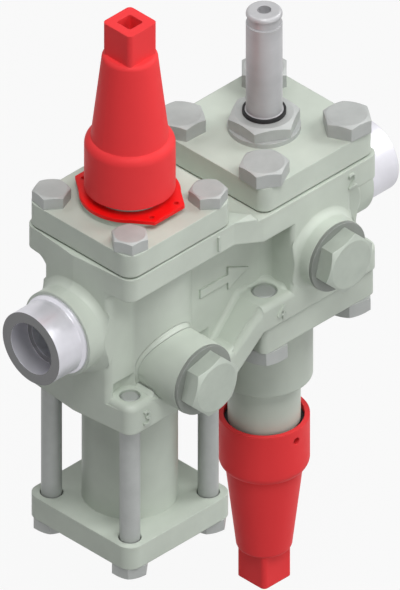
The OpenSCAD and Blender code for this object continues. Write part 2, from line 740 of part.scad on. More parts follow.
// Coves under the flange, round a neck and along both sides of its end rib; z = cove_r is the flange
module coves(half) {
  edge_y = end_rib_half - end_rib_r;
  edge_x = end_wall_x(half, edge_y) - end_rib_r;
  rotate_extrude() translate([neck_r, 0]) cove_section();
  for (s = [0, 1]) mirror([0, s, 0]) {
    translate([0, end_rib_half, 0]) rotate([90, 0, 90]) linear_extrude(edge_x) cove_section();
    translate([edge_x, edge_y, 0]) rotate_extrude() translate([end_rib_r, 0]) cove_section();
  }
}

// Neck and end rib of one module; flip is 0 for B's end of the body and 1 for A's
module neck(axis_x, half, flip, low_z, high_z) {
  translate([axis_x, 0, low_z]) mirror([flip, 0, 0]) {
    cylinder(r = neck_r, h = high_z - low_z);
    linear_extrude(high_z - low_z) {
      end_rib_plan(half);
      for (s = [0, 1]) mirror([0, s]) neck_corner(end_rib_half);
    }
  }
  intersection() {
    translate([flip ? lay : -lay, 0, 0]) linear_extrude(high_z + 0.01) flange_plan();
    translate([axis_x, 0, high_z - cove_r]) mirror([flip, 0, 0]) coves(half);
  }
}

// Plan of the side rib of module B, which grows towards -Y
module side_rib_plan() {
  edge_x = side_rib_half - side_rib_r;
  edge_y = side_rib_r - flange_b_half;
  translate([-side_rib_half, edge_y]) square([2 * side_rib_half, -edge_y]);
  translate([-edge_x, -flange_b_half]) square([2 * edge_x, side_rib_r + 1]);
  for (s = [-1, 1]) translate([s * edge_x, edge_y]) circle(r = side_rib_r);
  rotate(-90) neck_corner(side_rib_half);
  translate([-side_rib_half - web_fillet_r, -web_half - web_fillet_r]) difference() {
    square(web_fillet_r + 1);
    circle(r = web_fillet_r + merge);
  }
}

module side_rib() {
  low_z = low_b_top_z - cast_edge_r - 1;
  translate([axis_b_x, 0, low_z]) linear_extrude(top_b_z - flange_b_t / 2 - low_z) side_rib_plan();
}

// Boss of the side port on the rib of module B
module side_boss_b() {
  translate([axis_b_x, 0, 0]) rotate([90, 0, 0]) {
    cylinder(r = side_boss_r, h = side_boss_y);
    intersection() {
      translate([0, 0, flange_b_half]) boss_foot(side_boss_r, side_boss_fillet, side_rib_r + 1);
      translate([-side_rib_half, -flange_b_half, 0]) cube([2 * side_rib_half, 2 * flange_b_half, side_boss_y]);
    }
  }
}

// Boss of the side port of module A, with a fillet where it stands on the lug's face
module side_boss_a() {
  fillet_top_z = lug_top_z - cast_edge_r / 2 + side_port_a_z;
  fillet_low_z = side_port_a_z - bottom_a_z;
  translate([axis_a_x, 0, -side_port_a_z]) rotate([90, 0, 0]) {
    cylinder(r = side_boss_r, h = side_boss_y);
    intersection() {
      translate([0, 0, flange_a_half]) boss_foot(side_boss_r, lug_boss_fillet, cast_edge_r + 1);
      translate([-flange_a_half, fillet_low_z, 0])
        cube([2 * flange_a_half, fillet_top_z - fillet_low_z, side_boss_y]);
    }
  }
}

module body_outside() {
  intersection() {
    linear_extrude(200, center = true) flange_plan();
    upper_flange_side();
    upper_flange_end();
  }
  lower_flange();
  neck(axis_a_x, flange_a_half, 1, lug_top_z - cast_edge_r - 1, top_a_z - flange_t);
  neck(axis_b_x, flange_b_half, 0, low_b_top_z - cast_edge_r - 1, top_b_z - flange_b_t);
  web();
  side_rib();
  translate([inlet_boss_x + end_boss_l, 0, 0]) rotate([0, -90, 0]) end_boss(flange_a_half);
  translate([outlet_boss_x - end_boss_l, 0, 0]) rotate([0, 90, 0]) end_boss(flange_b_half);
  side_boss_a();
  side_boss_b();
}

module chambers() {
  translate([axis_a_x, 0, 0]) {
    translate([0, 0, chamber_a_floor]) cylinder(r = chamber_r, h = top_a_z);
    translate([0, 0, stop_seat_z - seat_ring_h]) cylinder(r = seat_ring_r + run, h = seat_ring_h);
    translate([0, 0, -bottom_a_z - eps]) cylinder(r = filter_chamber_r, h = bottom_a_z - filter_ceiling + eps);
    translate([0, 0, -filter_ceiling - eps]) cylinder(r = stop_seat_bore_r, h = filter_ceiling + stop_seat_z);
  }
  translate([axis_b_x, 0, 0]) {
    translate([0, 0, chamber_b_floor]) cylinder(r = chamber_r, h = top_b_z);
    translate([0, 0, main_seat_z - seat_ring_h]) cylinder(r = seat_ring_r + run, h = seat_ring_h);
    translate([0, 0, -bottom_b_z - eps]) cylinder(r = chamber_r, h = bottom_b_z - regulator_ceiling + eps);
    translate([0, 0, -regulator_seat_u]) cylinder(r = seat_ring_r + run, h = regulator_seat_h);
    translate([0, 0, -regulator_seat_u]) cylinder(r = main_seat_bore_r, h = regulator_seat_u + main_seat_z);
  }
}

module galleries() {
  bend_a_x = axis_a_x - flange_a_half;
  bend_b_x = axis_b_x + flange_b_half - outlet_bend;
  side_x = chamber_r - gallery_d / 2; // a gallery's end lies against its chamber's wall
  spigot_r = passage_d / 2 + stub_spigot_wall;
  translate([inlet_boss_x - eps, 0, 0]) rotate([0, 90, 0]) {
    cylinder(r = passage_d / 2, h = bend_a_x - inlet_boss_x + eps);
    cylinder(r = spigot_r + run, h = stub_spigot_l + eps);
  }
  gallery([bend_a_x, 0], [axis_a_x - side_x, stop_seat_z + stop_disc_t], gallery_d / 2);
  gallery([axis_a_x + filter_chamber_r - 5, -bottom_a_z / 2], [axis_b_x - side_x, main_seat_z + 4], gallery_d / 2);
  gallery([bend_b_x, 0], [axis_b_x + side_x, -regulator_seat_u - 3], gallery_d / 2);
  translate([outlet_boss_x + eps, 0, 0]) rotate([0, -90, 0]) {
    cylinder(r = passage_d / 2, h = outlet_boss_x - bend_b_x + eps);
    cylinder(r = spigot_r + run, h = stub_spigot_l + eps);
  }
}

module side_ports() {
  translate([axis_a_x, -side_boss_y - eps, -side_port_a_z]) rotate([-90, 0, 0]) {
    cylinder(r = plug_thread_r + run, h = plug_thread_l + 2 + eps);
    cylinder(r = 4, h = side_boss_y - filter_chamber_r / 2);
  }
  translate([axis_b_x, -side_boss_y - eps, 0]) rotate([-90, 0, 0]) {
    cylinder(r = plug_thread_r + run, h = plug_thread_l + 2 + eps);
    cylinder(r = 2, h = side_boss_y);
  }
}

// Tapped holes through the flanges, and the spot faces where they come out
module bolt_holes() {
  spot_r = bolt_a_af / 2;
  translate([axis_a_x, 0, 0]) for (c = corners(bolt_a_offset)) translate(c) {
    translate([0, 0, -bottom_a_z - eps]) cylinder(d = bolt_a_d + 2 * run, h = lug_t + 2 * eps);
    translate([0, 0, top_a_z - flange_t - eps]) cylinder(d = bolt_a_d + 2 * run, h = flange_t + 2 * eps);
    translate([0, 0, lug_top_z]) cylinder(r = spot_r, h = lug_spot_h);
    translate([0, 0, top_a_z - flange_t - flange_spot_h]) cylinder(r = spot_r, h = flange_spot_h);
  }
  translate([axis_b_x, 0, 0]) for (c = corners(bolt_b_offset)) translate(c) {
    translate([0, 0, -bottom_b_z - eps]) cylinder(d = bolt_b_d + 2 * run, h = flange_b_low_t + 2 * eps);
    translate([0, 0, top_b_z - flange_b_t - eps]) cylinder(d = bolt_b_d + 2 * run, h = flange_b_t + 2 * eps);
  }
}

module valve_body() {
  color(casting) difference() {
    body_outside();
    translate([axis_b_x, 0, top_b_z]) cylinder(r = recess_r, h = top_a_z - top_b_z + eps);
    chambers();
    galleries();
    side_ports();
    bolt_holes();
  }
}

// Connections

// Socket-weld end: z = 0 is its mouth and it grows into the body
module connection(reach) {
  difference() {
    union() {
      cylinder(d = stub_d, h = reach);
      translate([0, 0, reach - 2 * stub_collar])
        cylinder(d1 = stub_d, d2 = stub_d + 2 * stub_collar, h = stub_collar);
      translate([0, 0, reach - stub_collar]) cylinder(d = stub_d + 2 * stub_collar, h = stub_collar);
      translate([0, 0, reach - 0.01]) cylinder(r = passage_d / 2 + stub_spigot_wall, h = stub_spigot_l - lay);
    }
    translate([0, 0, -eps]) cylinder(d = socket_d, h = socket_depth + eps);
    translate([0, 0, -eps]) cylinder(d = passage_d, h = reach + stub_spigot_l + 2 * eps);
  }
}

module inlet_connection() {
  color(machined) rotate([0, 90, 0]) connection(inlet_boss_x);
}

module outlet_connection() {
  color(machined) translate([outlet_x, 0, 0]) rotate([0, -90, 0]) connection(outlet_x - outlet_boss_x);
}

// Stop valve on top of module A

module stop_cover() {
  color(casting) translate([axis_a_x, 0, 0]) difference() {
    union() {
      translate([0, 0, stop_cover_u]) linear_extrude(stop_cover_t)
        plate_outline(cover_a_half, cover_a_corner_r);
      translate([0, 0, stop_cover_u - gasket_t - spigot_l])
        cylinder(r = chamber_r - lay, h = spigot_l + gasket_t + 0.01);
      stem(stop_face_u, stop_foot_l, stop_rim_u);
    }
    spindle_way(stop_cover_u - gasket_t - spigot_l, stop_hub_u + spindle_travel + hub_gap, stop_rim_u);
    for (c = corners(bolt_a_offset)) translate([c[0], c[1], stop_cover_u - eps])
      cylinder(d = bolt_a_d + bolt_play, h = stop_cover_t + 2 * eps);
  }
}

module stop_gasket() {
  color(soft_grey) translate([axis_a_x, 0, top_a_z]) ring(bolt_a_offset + 2, chamber_r, gasket_t);
}

// Seat ring pressed into a chamber's floor, with a raised lip; z = 0 is its closing plane
module seat_ring(bore_r, depth) {
  difference() {
    union() {
      translate([0, 0, -depth]) cylinder(r = seat_ring_r, h = depth - seat_lip);
      translate([0, 0, -seat_lip - 0.01]) cylinder(r = seat_ring_r - seat_lip, h = seat_lip + 0.01);
    }
    translate([0, 0, -depth - eps]) cylinder(r = bore_r, h = depth + 2 * eps);
  }
}

module stop_seat() {
  color(machined) translate([axis_a_x, 0, stop_seat_z]) seat_ring(stop_seat_bore_r, seat_ring_h);
}

// Soft seal in the disc's face, which meets the lip of the seat
module disc_seal_shape(height) {
  ring(stop_disc_r - 0.6, stop_seat_bore_r - 0.9, height);
}

module stop_disc() {
  color(machined) translate([axis_a_x, 0, stop_seat_z]) difference() {
    union() {
      cylinder(r = stop_disc_r, h = stop_disc_t);
      cylinder(r = hub_r, h = stop_disc_t + hub_l);
    }
    translate([0, 0, -eps]) disc_seal_shape(disc_seal_t + eps);
    translate([0, 0, stop_disc_t]) cylinder(r = spindle_r + run, h = hub_l + eps);
  }
}

module stop_disc_seal() {
  color("white") translate([axis_a_x, 0, stop_seat_z]) disc_seal_shape(disc_seal_t);
}

module stop_spindle() {
  color(machined) translate([axis_a_x, 0, 0]) spindle(stop_seat_z + stop_disc_t, stop_rim_u);
}

module stop_packing() {
  color("white") translate([axis_a_x, 0, 0]) packing(stop_rim_u);
}

module stop_gland_nut() {
  color(brass) translate([axis_a_x, 0, 0]) gland_nut(stop_rim_u);
}

module stop_cap_seal() {
  color(soft_grey) translate([axis_a_x, 0, 0]) cap_seal(stop_rim_u);
}

module stop_cap() {
  color(cap_red) translate([axis_a_x, 0, stop_rim_u]) rotate(180) screw_cap();
}

// Round tag with two opposite tabs, whose sides run into the disc almost tangentially
module tag_plate() {
  tab = [tag_tab_half, -tag_tab_y];
  touch_r = tag_r - 0.3;
  touch = atan2(tab[1], tab[0]) + acos(touch_r / norm(tab));
  side = touch_r * [cos(touch), sin(touch)];
  color(tag_red) translate([axis_a_x, 0, stop_face_u + stop_foot_l + lay]) linear_extrude(tag_t) difference() {
    union() {
      circle(r = tag_r);
      polygon([
        [-side[0], side[1]], [-tab[0], tab[1]], tab, side,
        [side[0], -side[1]], [tab[0], -tab[1]], -tab, -side
      ]);
    }
    circle(r = stem_r + 2 * lay);
    for (c = corners(1)) translate([c[0] * tag_hole_x, c[1] * tag_hole_y]) circle(d = tag_hole_d, $fn = 24);
  }
}

module stop_bolt(index, turn) {
  color(zinc) translate([axis_a_x, 0, stop_face_u]) translate(corners(bolt_a_offset)[index])
    hex_bolt(bolt_a_d, bolt_a_af, bolt_a_head, stop_cover_t + gasket_t + flange_t - bolt_recess, 45 + turn);
}

// Filter under module A

module filter_housing() {
  color(casting) translate([axis_a_x, 0, -filter_plate_z]) difference() {
    union() {
      translate([0, 0, -filter_plate_t]) linear_extrude(filter_plate_t)
        plate_outline(cover_a_half, cover_a_corner_r);
      cylinder(r = filter_tube_r, h = filter_tube_l - gasket_t);
      cylinder(r = filter_chamber_r - lay, h = filter_tube_l + spigot_l);
    }
    translate([0, 0, -filter_plate_t / 2]) cylinder(r = filter_bore_r, h = filter_tube_l + 2 * spigot_l + filter_plate_t);
    for (c = corners(bolt_a_offset)) translate([c[0], c[1], -filter_plate_t - eps])
      cylinder(d = bolt_a_d + bolt_play, h = filter_plate_t + 2 * eps);
  }
}

module filter_gasket() {
  color(soft_grey) translate([axis_a_x, 0, -bottom_a_z - gasket_t])
    ring(filter_tube_r, filter_chamber_r, gasket_t);
}

module filter_strainer() {
  bottom = -filter_plate_z - filter_plate_t / 2;
  height = filter_plate_z + filter_plate_t / 2 - filter_ceiling - strainer_ring_h;
  row_h = (height - 2 * strainer_band) / strainer_rows;
  window_w = PI * strainer_r * 2 / strainer_columns * 0.55;
  color(zinc) translate([axis_a_x, 0, bottom]) difference() {
    cylinder(r = strainer_r, h = height);
    translate([0, 0, strainer_wall]) cylinder(r = strainer_r - strainer_wall, h = height);
    for (row = [0:strainer_rows - 1], column = [0:strainer_columns - 1])
      rotate(column * 360 / strainer_columns)
        translate([strainer_r / 2, -window_w / 2, strainer_band + 1 + row * row_h])
        cube([strainer_r, window_w, row_h - strainer_band]);
  }
}

module strainer_ring() {
  color(machined) translate([axis_a_x, 0, -filter_ceiling - strainer_ring_h])
    ring(strainer_r, strainer_r - 3, strainer_ring_h);
}

module filter_bolt(index) {
  color(zinc) translate([axis_a_x, 0, -filter_plate_z - filter_plate_t]) rotate([180, 0, 0])
    translate(corners(bolt_a_offset)[index])
    hex_bolt(bolt_a_d, bolt_a_af, bolt_a_head, filter_plate_t + filter_tube_l + lug_t - bolt_recess, 20);
}

// Solenoid valve on top of module B

module solenoid_cover() {
  color(casting) translate([axis_b_x, 0, 0]) difference() {
    union() {
      translate([0, 0, solenoid_cover_z]) linear_extrude(solenoid_cover_t)
        plate_outline(cover_b_half, solenoid_cover_corner_r);
      translate([0, 0, sleeve_bottom_z])
        cylinder(r = chamber_r - lay, h = solenoid_cover_z - sleeve_bottom_z + 0.01);
    }
    translate([0, 0, sleeve_bottom_z - eps])
      cylinder(r = piston_r + run, h = sleeve_roof_z - sleeve_bottom_z + eps);
    translate([0, 0, sleeve_roof_z - eps]) cylinder(r = pilot_bore_r, h = pilot_z - sleeve_roof_z + 2 * eps);
    translate([0, 0, pilot_z]) cylinder(r = tube_foot_r + run, h = solenoid_face_z - pilot_z + eps);
    for (c = corners(bolt_b_offset)) translate([c[0], c[1], solenoid_cover_z - eps])
      cylinder(d = bolt_b_d + bolt_play, h = solenoid_cover_t + 2 * eps);
  }
}

module solenoid_gasket() {
  color(soft_grey) translate([axis_b_x, 0, top_b_z]) ring(bolt_b_offset + 1.5, chamber_r, gasket_t);
}

module solenoid_seat() {
  color(machined) translate([axis_b_x, 0, main_seat_z]) seat_ring(main_seat_bore_r, seat_ring_h);
}

module main_piston() {
  groove_z = piston_h - 6;
  color(machined) translate([axis_b_x, 0, main_seat_z]) difference() {
    union() {
      cylinder(r = piston_r - 2, h = 2.01);
      translate([0, 0, 2]) cylinder(r = piston_r, h = piston_h - 2);
    }
    translate([0, 0, piston_floor]) cylinder(r = piston_r - 4, h = piston_h);
    translate([0, 0, groove_z]) ring(piston_r + eps, piston_r - 1.6, 2.4);
  }
}

module piston_ring() {
  color(soft_grey) translate([axis_b_x, 0, main_seat_z + piston_h - 5.95]) ring(piston_r, piston_r - 1.55, 2.3);
}

module piston_spring() {
  color(zinc) translate([axis_b_x, 0, 0]) coil_spring(main_seat_z + piston_floor, sleeve_roof_z, 5.6, 0.6, 6);
}

module armature_tube() {
  color(zinc) translate([axis_b_x, 0, 0]) difference() {
    union() {
      translate([0, 0, pilot_z]) cylinder(r = tube_foot_r, h = nut_z - pilot_z);
      translate([0, 0, nut_z - 0.01]) cylinder(r = tube_shoulder_r, h = tube_nut_h + collar_t + 0.01);
      translate([0, 0, pilot_z]) rotate_extrude() {
        square([tube_r, tube_top_z - pilot_z - tube_tip_r]);
        square([tube_r - tube_tip_r, tube_top_z - pilot_z]);
        translate([tube_r - tube_tip_r, tube_top_z - pilot_z - tube_tip_r]) circle(r = tube_tip_r);
      }
    }
    translate([0, 0, pilot_z - eps]) cylinder(r = tube_bore_r, h = core_z - pilot_z + eps);
    translate([0, 0, tube_top_z - clip_groove_drop])
      ring(tube_r + eps, tube_r - clip_groove_depth, clip_groove_w);
    translate([0, 0, tube_top_z - tip_hole_depth]) cylinder(r = tip_hole_r, h = tip_hole_depth + eps, $fn = 32);
  }
}

module armature_ring() {
  color(zinc) translate([axis_b_x, 0, ring_z]) ring(tube_ring_r, tube_foot_r + lay, tube_ring_h);
}

module armature_nut() {
  color(zinc) translate([axis_b_x, 0, nut_z]) difference() {
    rotate(30) hex_head(tube_nut_af, tube_nut_h);
    translate([0, 0, -eps]) cylinder(r = tube_shoulder_r + lay, h = tube_nut_h + 2 * eps);
  }
}

module armature_collar() {
  color(soft_grey) translate([axis_b_x, 0, collar_z]) ring(tube_collar_r, tube_shoulder_r + lay, collar_t);
}

module armature() {
  color(machined) translate([axis_b_x, 0, pilot_z]) difference() {
    union() {
      cylinder(r1 = 2, r2 = 3.6, h = 2.01);
      translate([0, 0, 2]) cylinder(r = tube_bore_r - run, h = armature_l - 2);
    }
    translate([0, 0, armature_l - armature_hollow]) cylinder(r = 3.4, h = armature_hollow + eps);
  }
}

module armature_spring() {
  color(zinc) translate([axis_b_x, 0, 0]) coil_spring(armature_top_z - armature_hollow, core_z, 2.5, 0.35, 7);
}

module solenoid_bolt(index, turn) {
  color(zinc) translate([axis_b_x, 0, solenoid_face_z]) translate(corners(bolt_b_offset)[index])
    hex_bolt(bolt_b_d, bolt_b_af, bolt_b_head, solenoid_cover_t + gasket_t + flange_t - bolt_recess, 45 + turn);
}

// Hand regulating valve under module B, drawn outward and turned over
module turned_down() {
  translate([axis_b_x, 0, 0]) rotate([180, 0, 0]) children();
}

module regulator_bonnet() {
  color(casting) turned_down() difference() {
    union() {
      translate([0, 0, bonnet_u]) linear_extrude(bonnet_t) plate_outline(cover_b_half, bonnet_corner_r);
      translate([0, 0, bonnet_u - gasket_t - spigot_l / 2])
        cylinder(r = chamber_r - lay, h = spigot_l / 2 + gasket_t + 0.01);
      stem(bonnet_face_u, bonnet_neck_l, bonnet_rim_u);
    }
    spindle_way(bonnet_u - gasket_t - spigot_l / 2, bonnet_face_u + 0.7 * bonnet_neck_l, bonnet_rim_u);
    for (c = corners(bolt_b_offset)) translate([c[0], c[1], bonnet_u - eps])
      cylinder(d = bolt_b_d + bolt_play, h = bonnet_t + 2 * eps);
  }
}

module regulator_gasket() {
  color(soft_grey) turned_down() translate([0, 0, bottom_b_z]) ring(bolt_b_offset + 1.5, chamber_r, gasket_t);
}

module regulator_seat() {
  color(machined) turned_down() translate([0, 0, regulator_seat_u]) seat_ring(regulator_seat_bore_r, regulator_seat_h);
}

module regulator_cone() {
  color(machined) turned_down() translate([0, 0, regulator_seat_u]) difference() {
    union() {
      translate([0, 0, -cone_tip_l])
        cylinder(r1 = regulator_seat_bore_r / 2, r2 = regulator_seat_bore_r - 0.3, h = cone_tip_l + 0.01);
      cylinder(r = cone_collar_r, h = cone_collar_t);
      cylinder(r = hub_r, h = cone_collar_t + hub_l);
    }
    translate([0, 0, cone_collar_t]) cylinder(r = spindle_r + run, h = hub_l + eps);
  }
}

module regulator_spindle() {
  color(machined) turned_down() spindle(regulator_seat_u + cone_collar_t, bonnet_rim_u);
}

module regulator_packing() {
  color("white") turned_down() packing(bonnet_rim_u);
}

module regulator_gland_nut() {
  color(brass) turned_down() gland_nut(bonnet_rim_u);
}

module regulator_cap_seal() {
  color(soft_grey) turned_down() cap_seal(bonnet_rim_u);
}

module regulator_cap() {
  color(cap_red) translate([axis_b_x, 0, -bonnet_rim_u]) mirror([0, 0, 1]) screw_cap();
}

module regulator_bolt(index) {
  color(zinc) turned_down() translate([0, 0, bonnet_face_u]) translate(corners(bolt_b_offset)[index])
    hex_bolt(bolt_b_d, bolt_b_af, bolt_b_head, bonnet_t + gasket_t + flange_b_low_t - bolt_recess, 10);
}

// Side plugs

// Plug on a side port: z = 0 is the boss face and it grows outward
module side_plug_shape() {
  translate([0, 0, plug_ring_t]) rotate(15) hex_head(plug_af, plug_head);
  translate([0, 0, -plug_thread_l]) cylinder(r = plug_thread_r, h = plug_thread_l + plug_ring_t + 0.01);
}

module side_plug(axis_x, z) {
  color(casting) translate([axis_x, -side_boss_y, z]) rotate([90, 0, 0]) side_plug_shape();
}

module side_ring(axis_x, z) {
  color(casting) translate([axis_x, -side_boss_y, z]) rotate([90, 0, 0])
    ring(plug_ring_r, plug_thread_r + lay, plug_ring_t);
}

valve_body();
inlet_connection();
outlet_connection();
stop_cover();
stop_gasket();
stop_seat();
stop_disc();
stop_disc_seal();
stop_spindle();
stop_packing();
stop_gland_nut();
tag_plate();
stop_cap_seal();
stop_cap();
stop_bolt(0, 7);  // stop_bolt_1
stop_bolt(1, -24);  // stop_bolt_2
stop_bolt(2, 0);  // stop_bolt_3
stop_bolt(3, -24);  // stop_bolt_4
filter_housing();
filter_gasket();
filter_strainer();
strainer_ring();
filter_bolt(0);  // filter_bolt_1
filter_bolt(1);  // filter_bolt_2
filter_bolt(2);  // filter_bolt_3
filter_bolt(3);  // filter_bolt_4
solenoid_cover();
solenoid_gasket();
solenoid_seat();
main_piston();
piston_ring();
piston_spring();
armature_tube();
armature_ring();
armature_nut();
armature_collar();
armature();
armature_spring();
solenoid_bolt(0, -17.5);  // solenoid_bolt_1
solenoid_bolt(1, 10);  // solenoid_bolt_2
solenoid_bolt(2, 0);  // solenoid_bolt_3
solenoid_bolt(3, 12);  // solenoid_bolt_4
regulator_bonnet();
regulator_gasket();
regulator_seat();
regulator_cone();
regulator_spindle();
regulator_packing();
regulator_gland_nut();
regulator_cap_seal();
regulator_cap();
regulator_bolt(0);  // regulator_bolt_1
regulator_bolt(1);  // regulator_bolt_2
regulator_bolt(2);  // regulator_bolt_3
regulator_bolt(3);  // regulator_bolt_4
side_plug(axis_a_x, -side_port_a_z);  // side_plug_a
side_plug(axis_b_x, 0);  // side_plug_b
side_ring(axis_a_x, -side_port_a_z);  // side_ring_a
side_ring(axis_b_x, 0);  // side_ring_b
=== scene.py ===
"""Finishes, cast fillets and marks, springs, camera and lights for the refrigeration valve station.

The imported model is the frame: metres, the origin at the centre of the inlet's mouth, +X along the flow
and +Z up.
"""

import json
import math

import bmesh
import bpy
import numpy as np
from mathutils import Matrix, Vector


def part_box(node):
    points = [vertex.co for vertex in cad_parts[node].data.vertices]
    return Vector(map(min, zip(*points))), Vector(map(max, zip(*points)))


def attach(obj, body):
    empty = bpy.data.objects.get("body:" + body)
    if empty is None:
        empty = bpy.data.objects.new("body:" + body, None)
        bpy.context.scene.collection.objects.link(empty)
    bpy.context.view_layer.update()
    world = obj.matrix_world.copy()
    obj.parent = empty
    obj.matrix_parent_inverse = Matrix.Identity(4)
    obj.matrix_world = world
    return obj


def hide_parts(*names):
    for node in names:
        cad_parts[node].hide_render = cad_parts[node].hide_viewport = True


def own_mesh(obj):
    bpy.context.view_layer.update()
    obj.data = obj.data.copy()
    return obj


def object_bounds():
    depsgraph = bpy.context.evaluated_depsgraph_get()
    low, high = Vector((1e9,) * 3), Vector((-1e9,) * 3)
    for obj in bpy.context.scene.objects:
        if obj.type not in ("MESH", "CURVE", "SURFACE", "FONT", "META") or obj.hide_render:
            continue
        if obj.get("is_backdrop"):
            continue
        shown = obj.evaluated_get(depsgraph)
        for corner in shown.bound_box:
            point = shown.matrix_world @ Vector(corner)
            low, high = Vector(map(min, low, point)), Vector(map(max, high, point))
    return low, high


MM = 0.001

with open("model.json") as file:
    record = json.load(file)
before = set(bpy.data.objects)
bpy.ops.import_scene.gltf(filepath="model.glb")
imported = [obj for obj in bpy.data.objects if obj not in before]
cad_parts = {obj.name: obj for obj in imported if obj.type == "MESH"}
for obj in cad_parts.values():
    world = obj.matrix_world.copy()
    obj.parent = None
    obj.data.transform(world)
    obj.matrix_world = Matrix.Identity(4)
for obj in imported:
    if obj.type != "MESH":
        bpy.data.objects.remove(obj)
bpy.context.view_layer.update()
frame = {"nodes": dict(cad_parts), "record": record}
nodes = frame["nodes"]
slots = {part["node"]: part["material_slot"] for part in frame["record"]["subparts"]}


# Shader building: noise scales are in waves for each metre

NOISE_SPREAD = (0.3, 0.7)
NOISE_UPPER = (0.35, 0.7)
NOISE_SLICE = 0.37
GRAIN_SHARE = 0.55
PIT_REACH = 0.16
BEVEL_SAMPLES = 4
EDGE_COSINES = (0.99, 0.86)
# Cosines over which faces across a turned axis take the painted shade
END_SHADE_COSINES = (0.93, 0.99)


class Shade:
    """A node tree under construction."""

    def __init__(self, tree):
        self.tree = tree

    def join(self, value, socket):
        """Feeds a socket from another socket, or sets it to a plain value."""
        if isinstance(value, bpy.types.NodeSocket):
            self.tree.links.new(value, socket)
        else:
            socket.default_value = value

    def add(self, kind, inputs=None, **settings):
        """A new node: inputs go by the socket's name or number, and keywords are the node's settings."""
        made = self.tree.nodes.new(kind)
        for name, value in settings.items():
            setattr(made, name, value)
        for key, value in (inputs or {}).items():
            self.join(value, made.inputs[key])
        return made

    def math(self, operation, *values, clamp=False):
        made = self.add("ShaderNodeMath", dict(enumerate(values)), operation=operation, use_clamp=clamp)
        return made.outputs[0]

    def dot(self, first, second):
        made = self.add("ShaderNodeVectorMath", {0: first, 1: second}, operation="DOT_PRODUCT")
        return made.outputs["Value"]

    def noise(self, vector, scale, detail=3.0, roughness=0.55):
        inputs = {"Vector": vector, "Scale": scale, "Detail": detail, "Roughness": roughness}
        return self.add("ShaderNodeTexNoise", inputs).outputs["Fac"]

    def span(self, value, given, wanted=(0.0, 1.0)):
        """A value moved from the range given to the range wanted, and held inside it."""
        ends = dict(zip(("From Min", "From Max", "To Min", "To Max"), given + wanted))
        return self.add("ShaderNodeMapRange", {"Value": value, **ends}).outputs["Result"]

    def blend(self, factor, first, second):
        made = self.add("ShaderNodeMix", {0: factor, 6: first, 7: second}, data_type="RGBA")
        return made.outputs[2]

    def place(self):
        return self.add("ShaderNodeTexCoord").outputs["Object"]


def effect_group(name, inputs, outputs):
    """An empty shader node group with named sockets, and its input and output nodes."""
    group = bpy.data.node_groups.new(name, "ShaderNodeTree")
    for socket, kind, value in inputs:
        made = group.interface.new_socket(socket, in_out="INPUT", socket_type=kind)
        made.default_value = value
    for socket, kind in outputs:
        group.interface.new_socket(socket, in_out="OUTPUT", socket_type=kind)
    shade = Shade(group)
    return group, shade, shade.add("NodeGroupInput").outputs, shade.add("NodeGroupOutput").inputs


def make_cast_grain():
    """Sand-cast skin: waves, fine grains and a few pits as one height, and a blotch mask for colour."""
    group, shade, given, out = effect_group(
        "cast_grain",
        [("Grain Size", "NodeSocketFloat", 900.0), ("Pits", "NodeSocketFloat", 0.4)],
        [("Height", "NodeSocketFloat"), ("Blotch", "NodeSocketFloat")],
    )
    place = shade.place()
    grains = shade.noise(place, given["Grain Size"], detail=4.0, roughness=0.6)
    waves = shade.noise(place, scale=120.0, detail=2.0)
    cells = {"Vector": place, "Scale": 420.0}
    pit_cells = shade.add("ShaderNodeTexVoronoi", cells, feature="F1", distance="EUCLIDEAN")
    pit_depth = shade.span(pit_cells.outputs["Distance"], (0.0, PIT_REACH), (1.0, 0.0))
    pits = shade.math("MULTIPLY", pit_depth, given["Pits"])
    rough = shade.math("ADD", shade.math("MULTIPLY", grains, GRAIN_SHARE), waves)
    shade.join(shade.math("SUBTRACT", rough, pits), out["Height"])
    shade.join(shade.noise(place, scale=38.0), out["Blotch"])
    return group


def make_edge_wear():
    """Mask of edges, where a rounded copy of the normal leaves the true one, broken up by noise."""
    group, shade, given, out = effect_group(
        "edge_wear",
        [("Radius", "NodeSocketFloat", 0.8 * MM), ("Breakup", "NodeSocketFloat", 260.0)],
        [("Mask", "NodeSocketFloat"), ("Normal", "NodeSocketVector")],
    )
    bevel = shade.add("ShaderNodeBevel", {"Radius": given["Radius"]}, samples=BEVEL_SAMPLES)
    rounded = bevel.outputs["Normal"]
    facing = shade.dot(rounded, shade.add("ShaderNodeNewGeometry").outputs["Normal"])
    edge = shade.span(facing, EDGE_COSINES)
    broken = shade.span(shade.noise(shade.place(), given["Breakup"], detail=4.0), NOISE_UPPER)
    shade.join(shade.math("MULTIPLY", edge, broken, clamp=True), out["Mask"])
    shade.join(rounded, out["Normal"])
    return group


def make_turned_marks():
    """Tool marks left by turning: noise that depends only on the radius and the height along Z."""
    group, shade, given, out = effect_group(
        "turned_marks",
        [("Place", "NodeSocketVector", (0.0, 0.0, 0.0)), ("Pitch", "NodeSocketFloat", 2600.0)],
        [("Height", "NodeSocketFloat")],
    )
    parts = shade.add("ShaderNodeSeparateXYZ", {"Vector": given["Place"]}).outputs
    squares = [shade.math("POWER", parts[axis], 2.0) for axis in ("X", "Y")]
    radius = shade.math("SQRT", shade.math("ADD", *squares))
    profile = shade.add("ShaderNodeCombineXYZ", {"X": radius, "Y": parts["Z"], "Z": NOISE_SLICE})
    shade.join(shade.noise(profile.outputs["Vector"], given["Pitch"], detail=2.0), out["Height"])
    return group


CAST_GRAIN = make_cast_grain()
EDGE_WEAR = make_edge_wear()
TURNED_MARKS = make_turned_marks()


def by_socket(inputs):
    """Keyword names as socket names, which have spaces."""
    return {name.replace("_", " "): value for name, value in inputs.items()}


def use_group(shade, group, **inputs):
    """A group placed in a material with values of its own, and its outputs."""
    return shade.add("ShaderNodeGroup", by_socket(inputs), node_tree=group).outputs


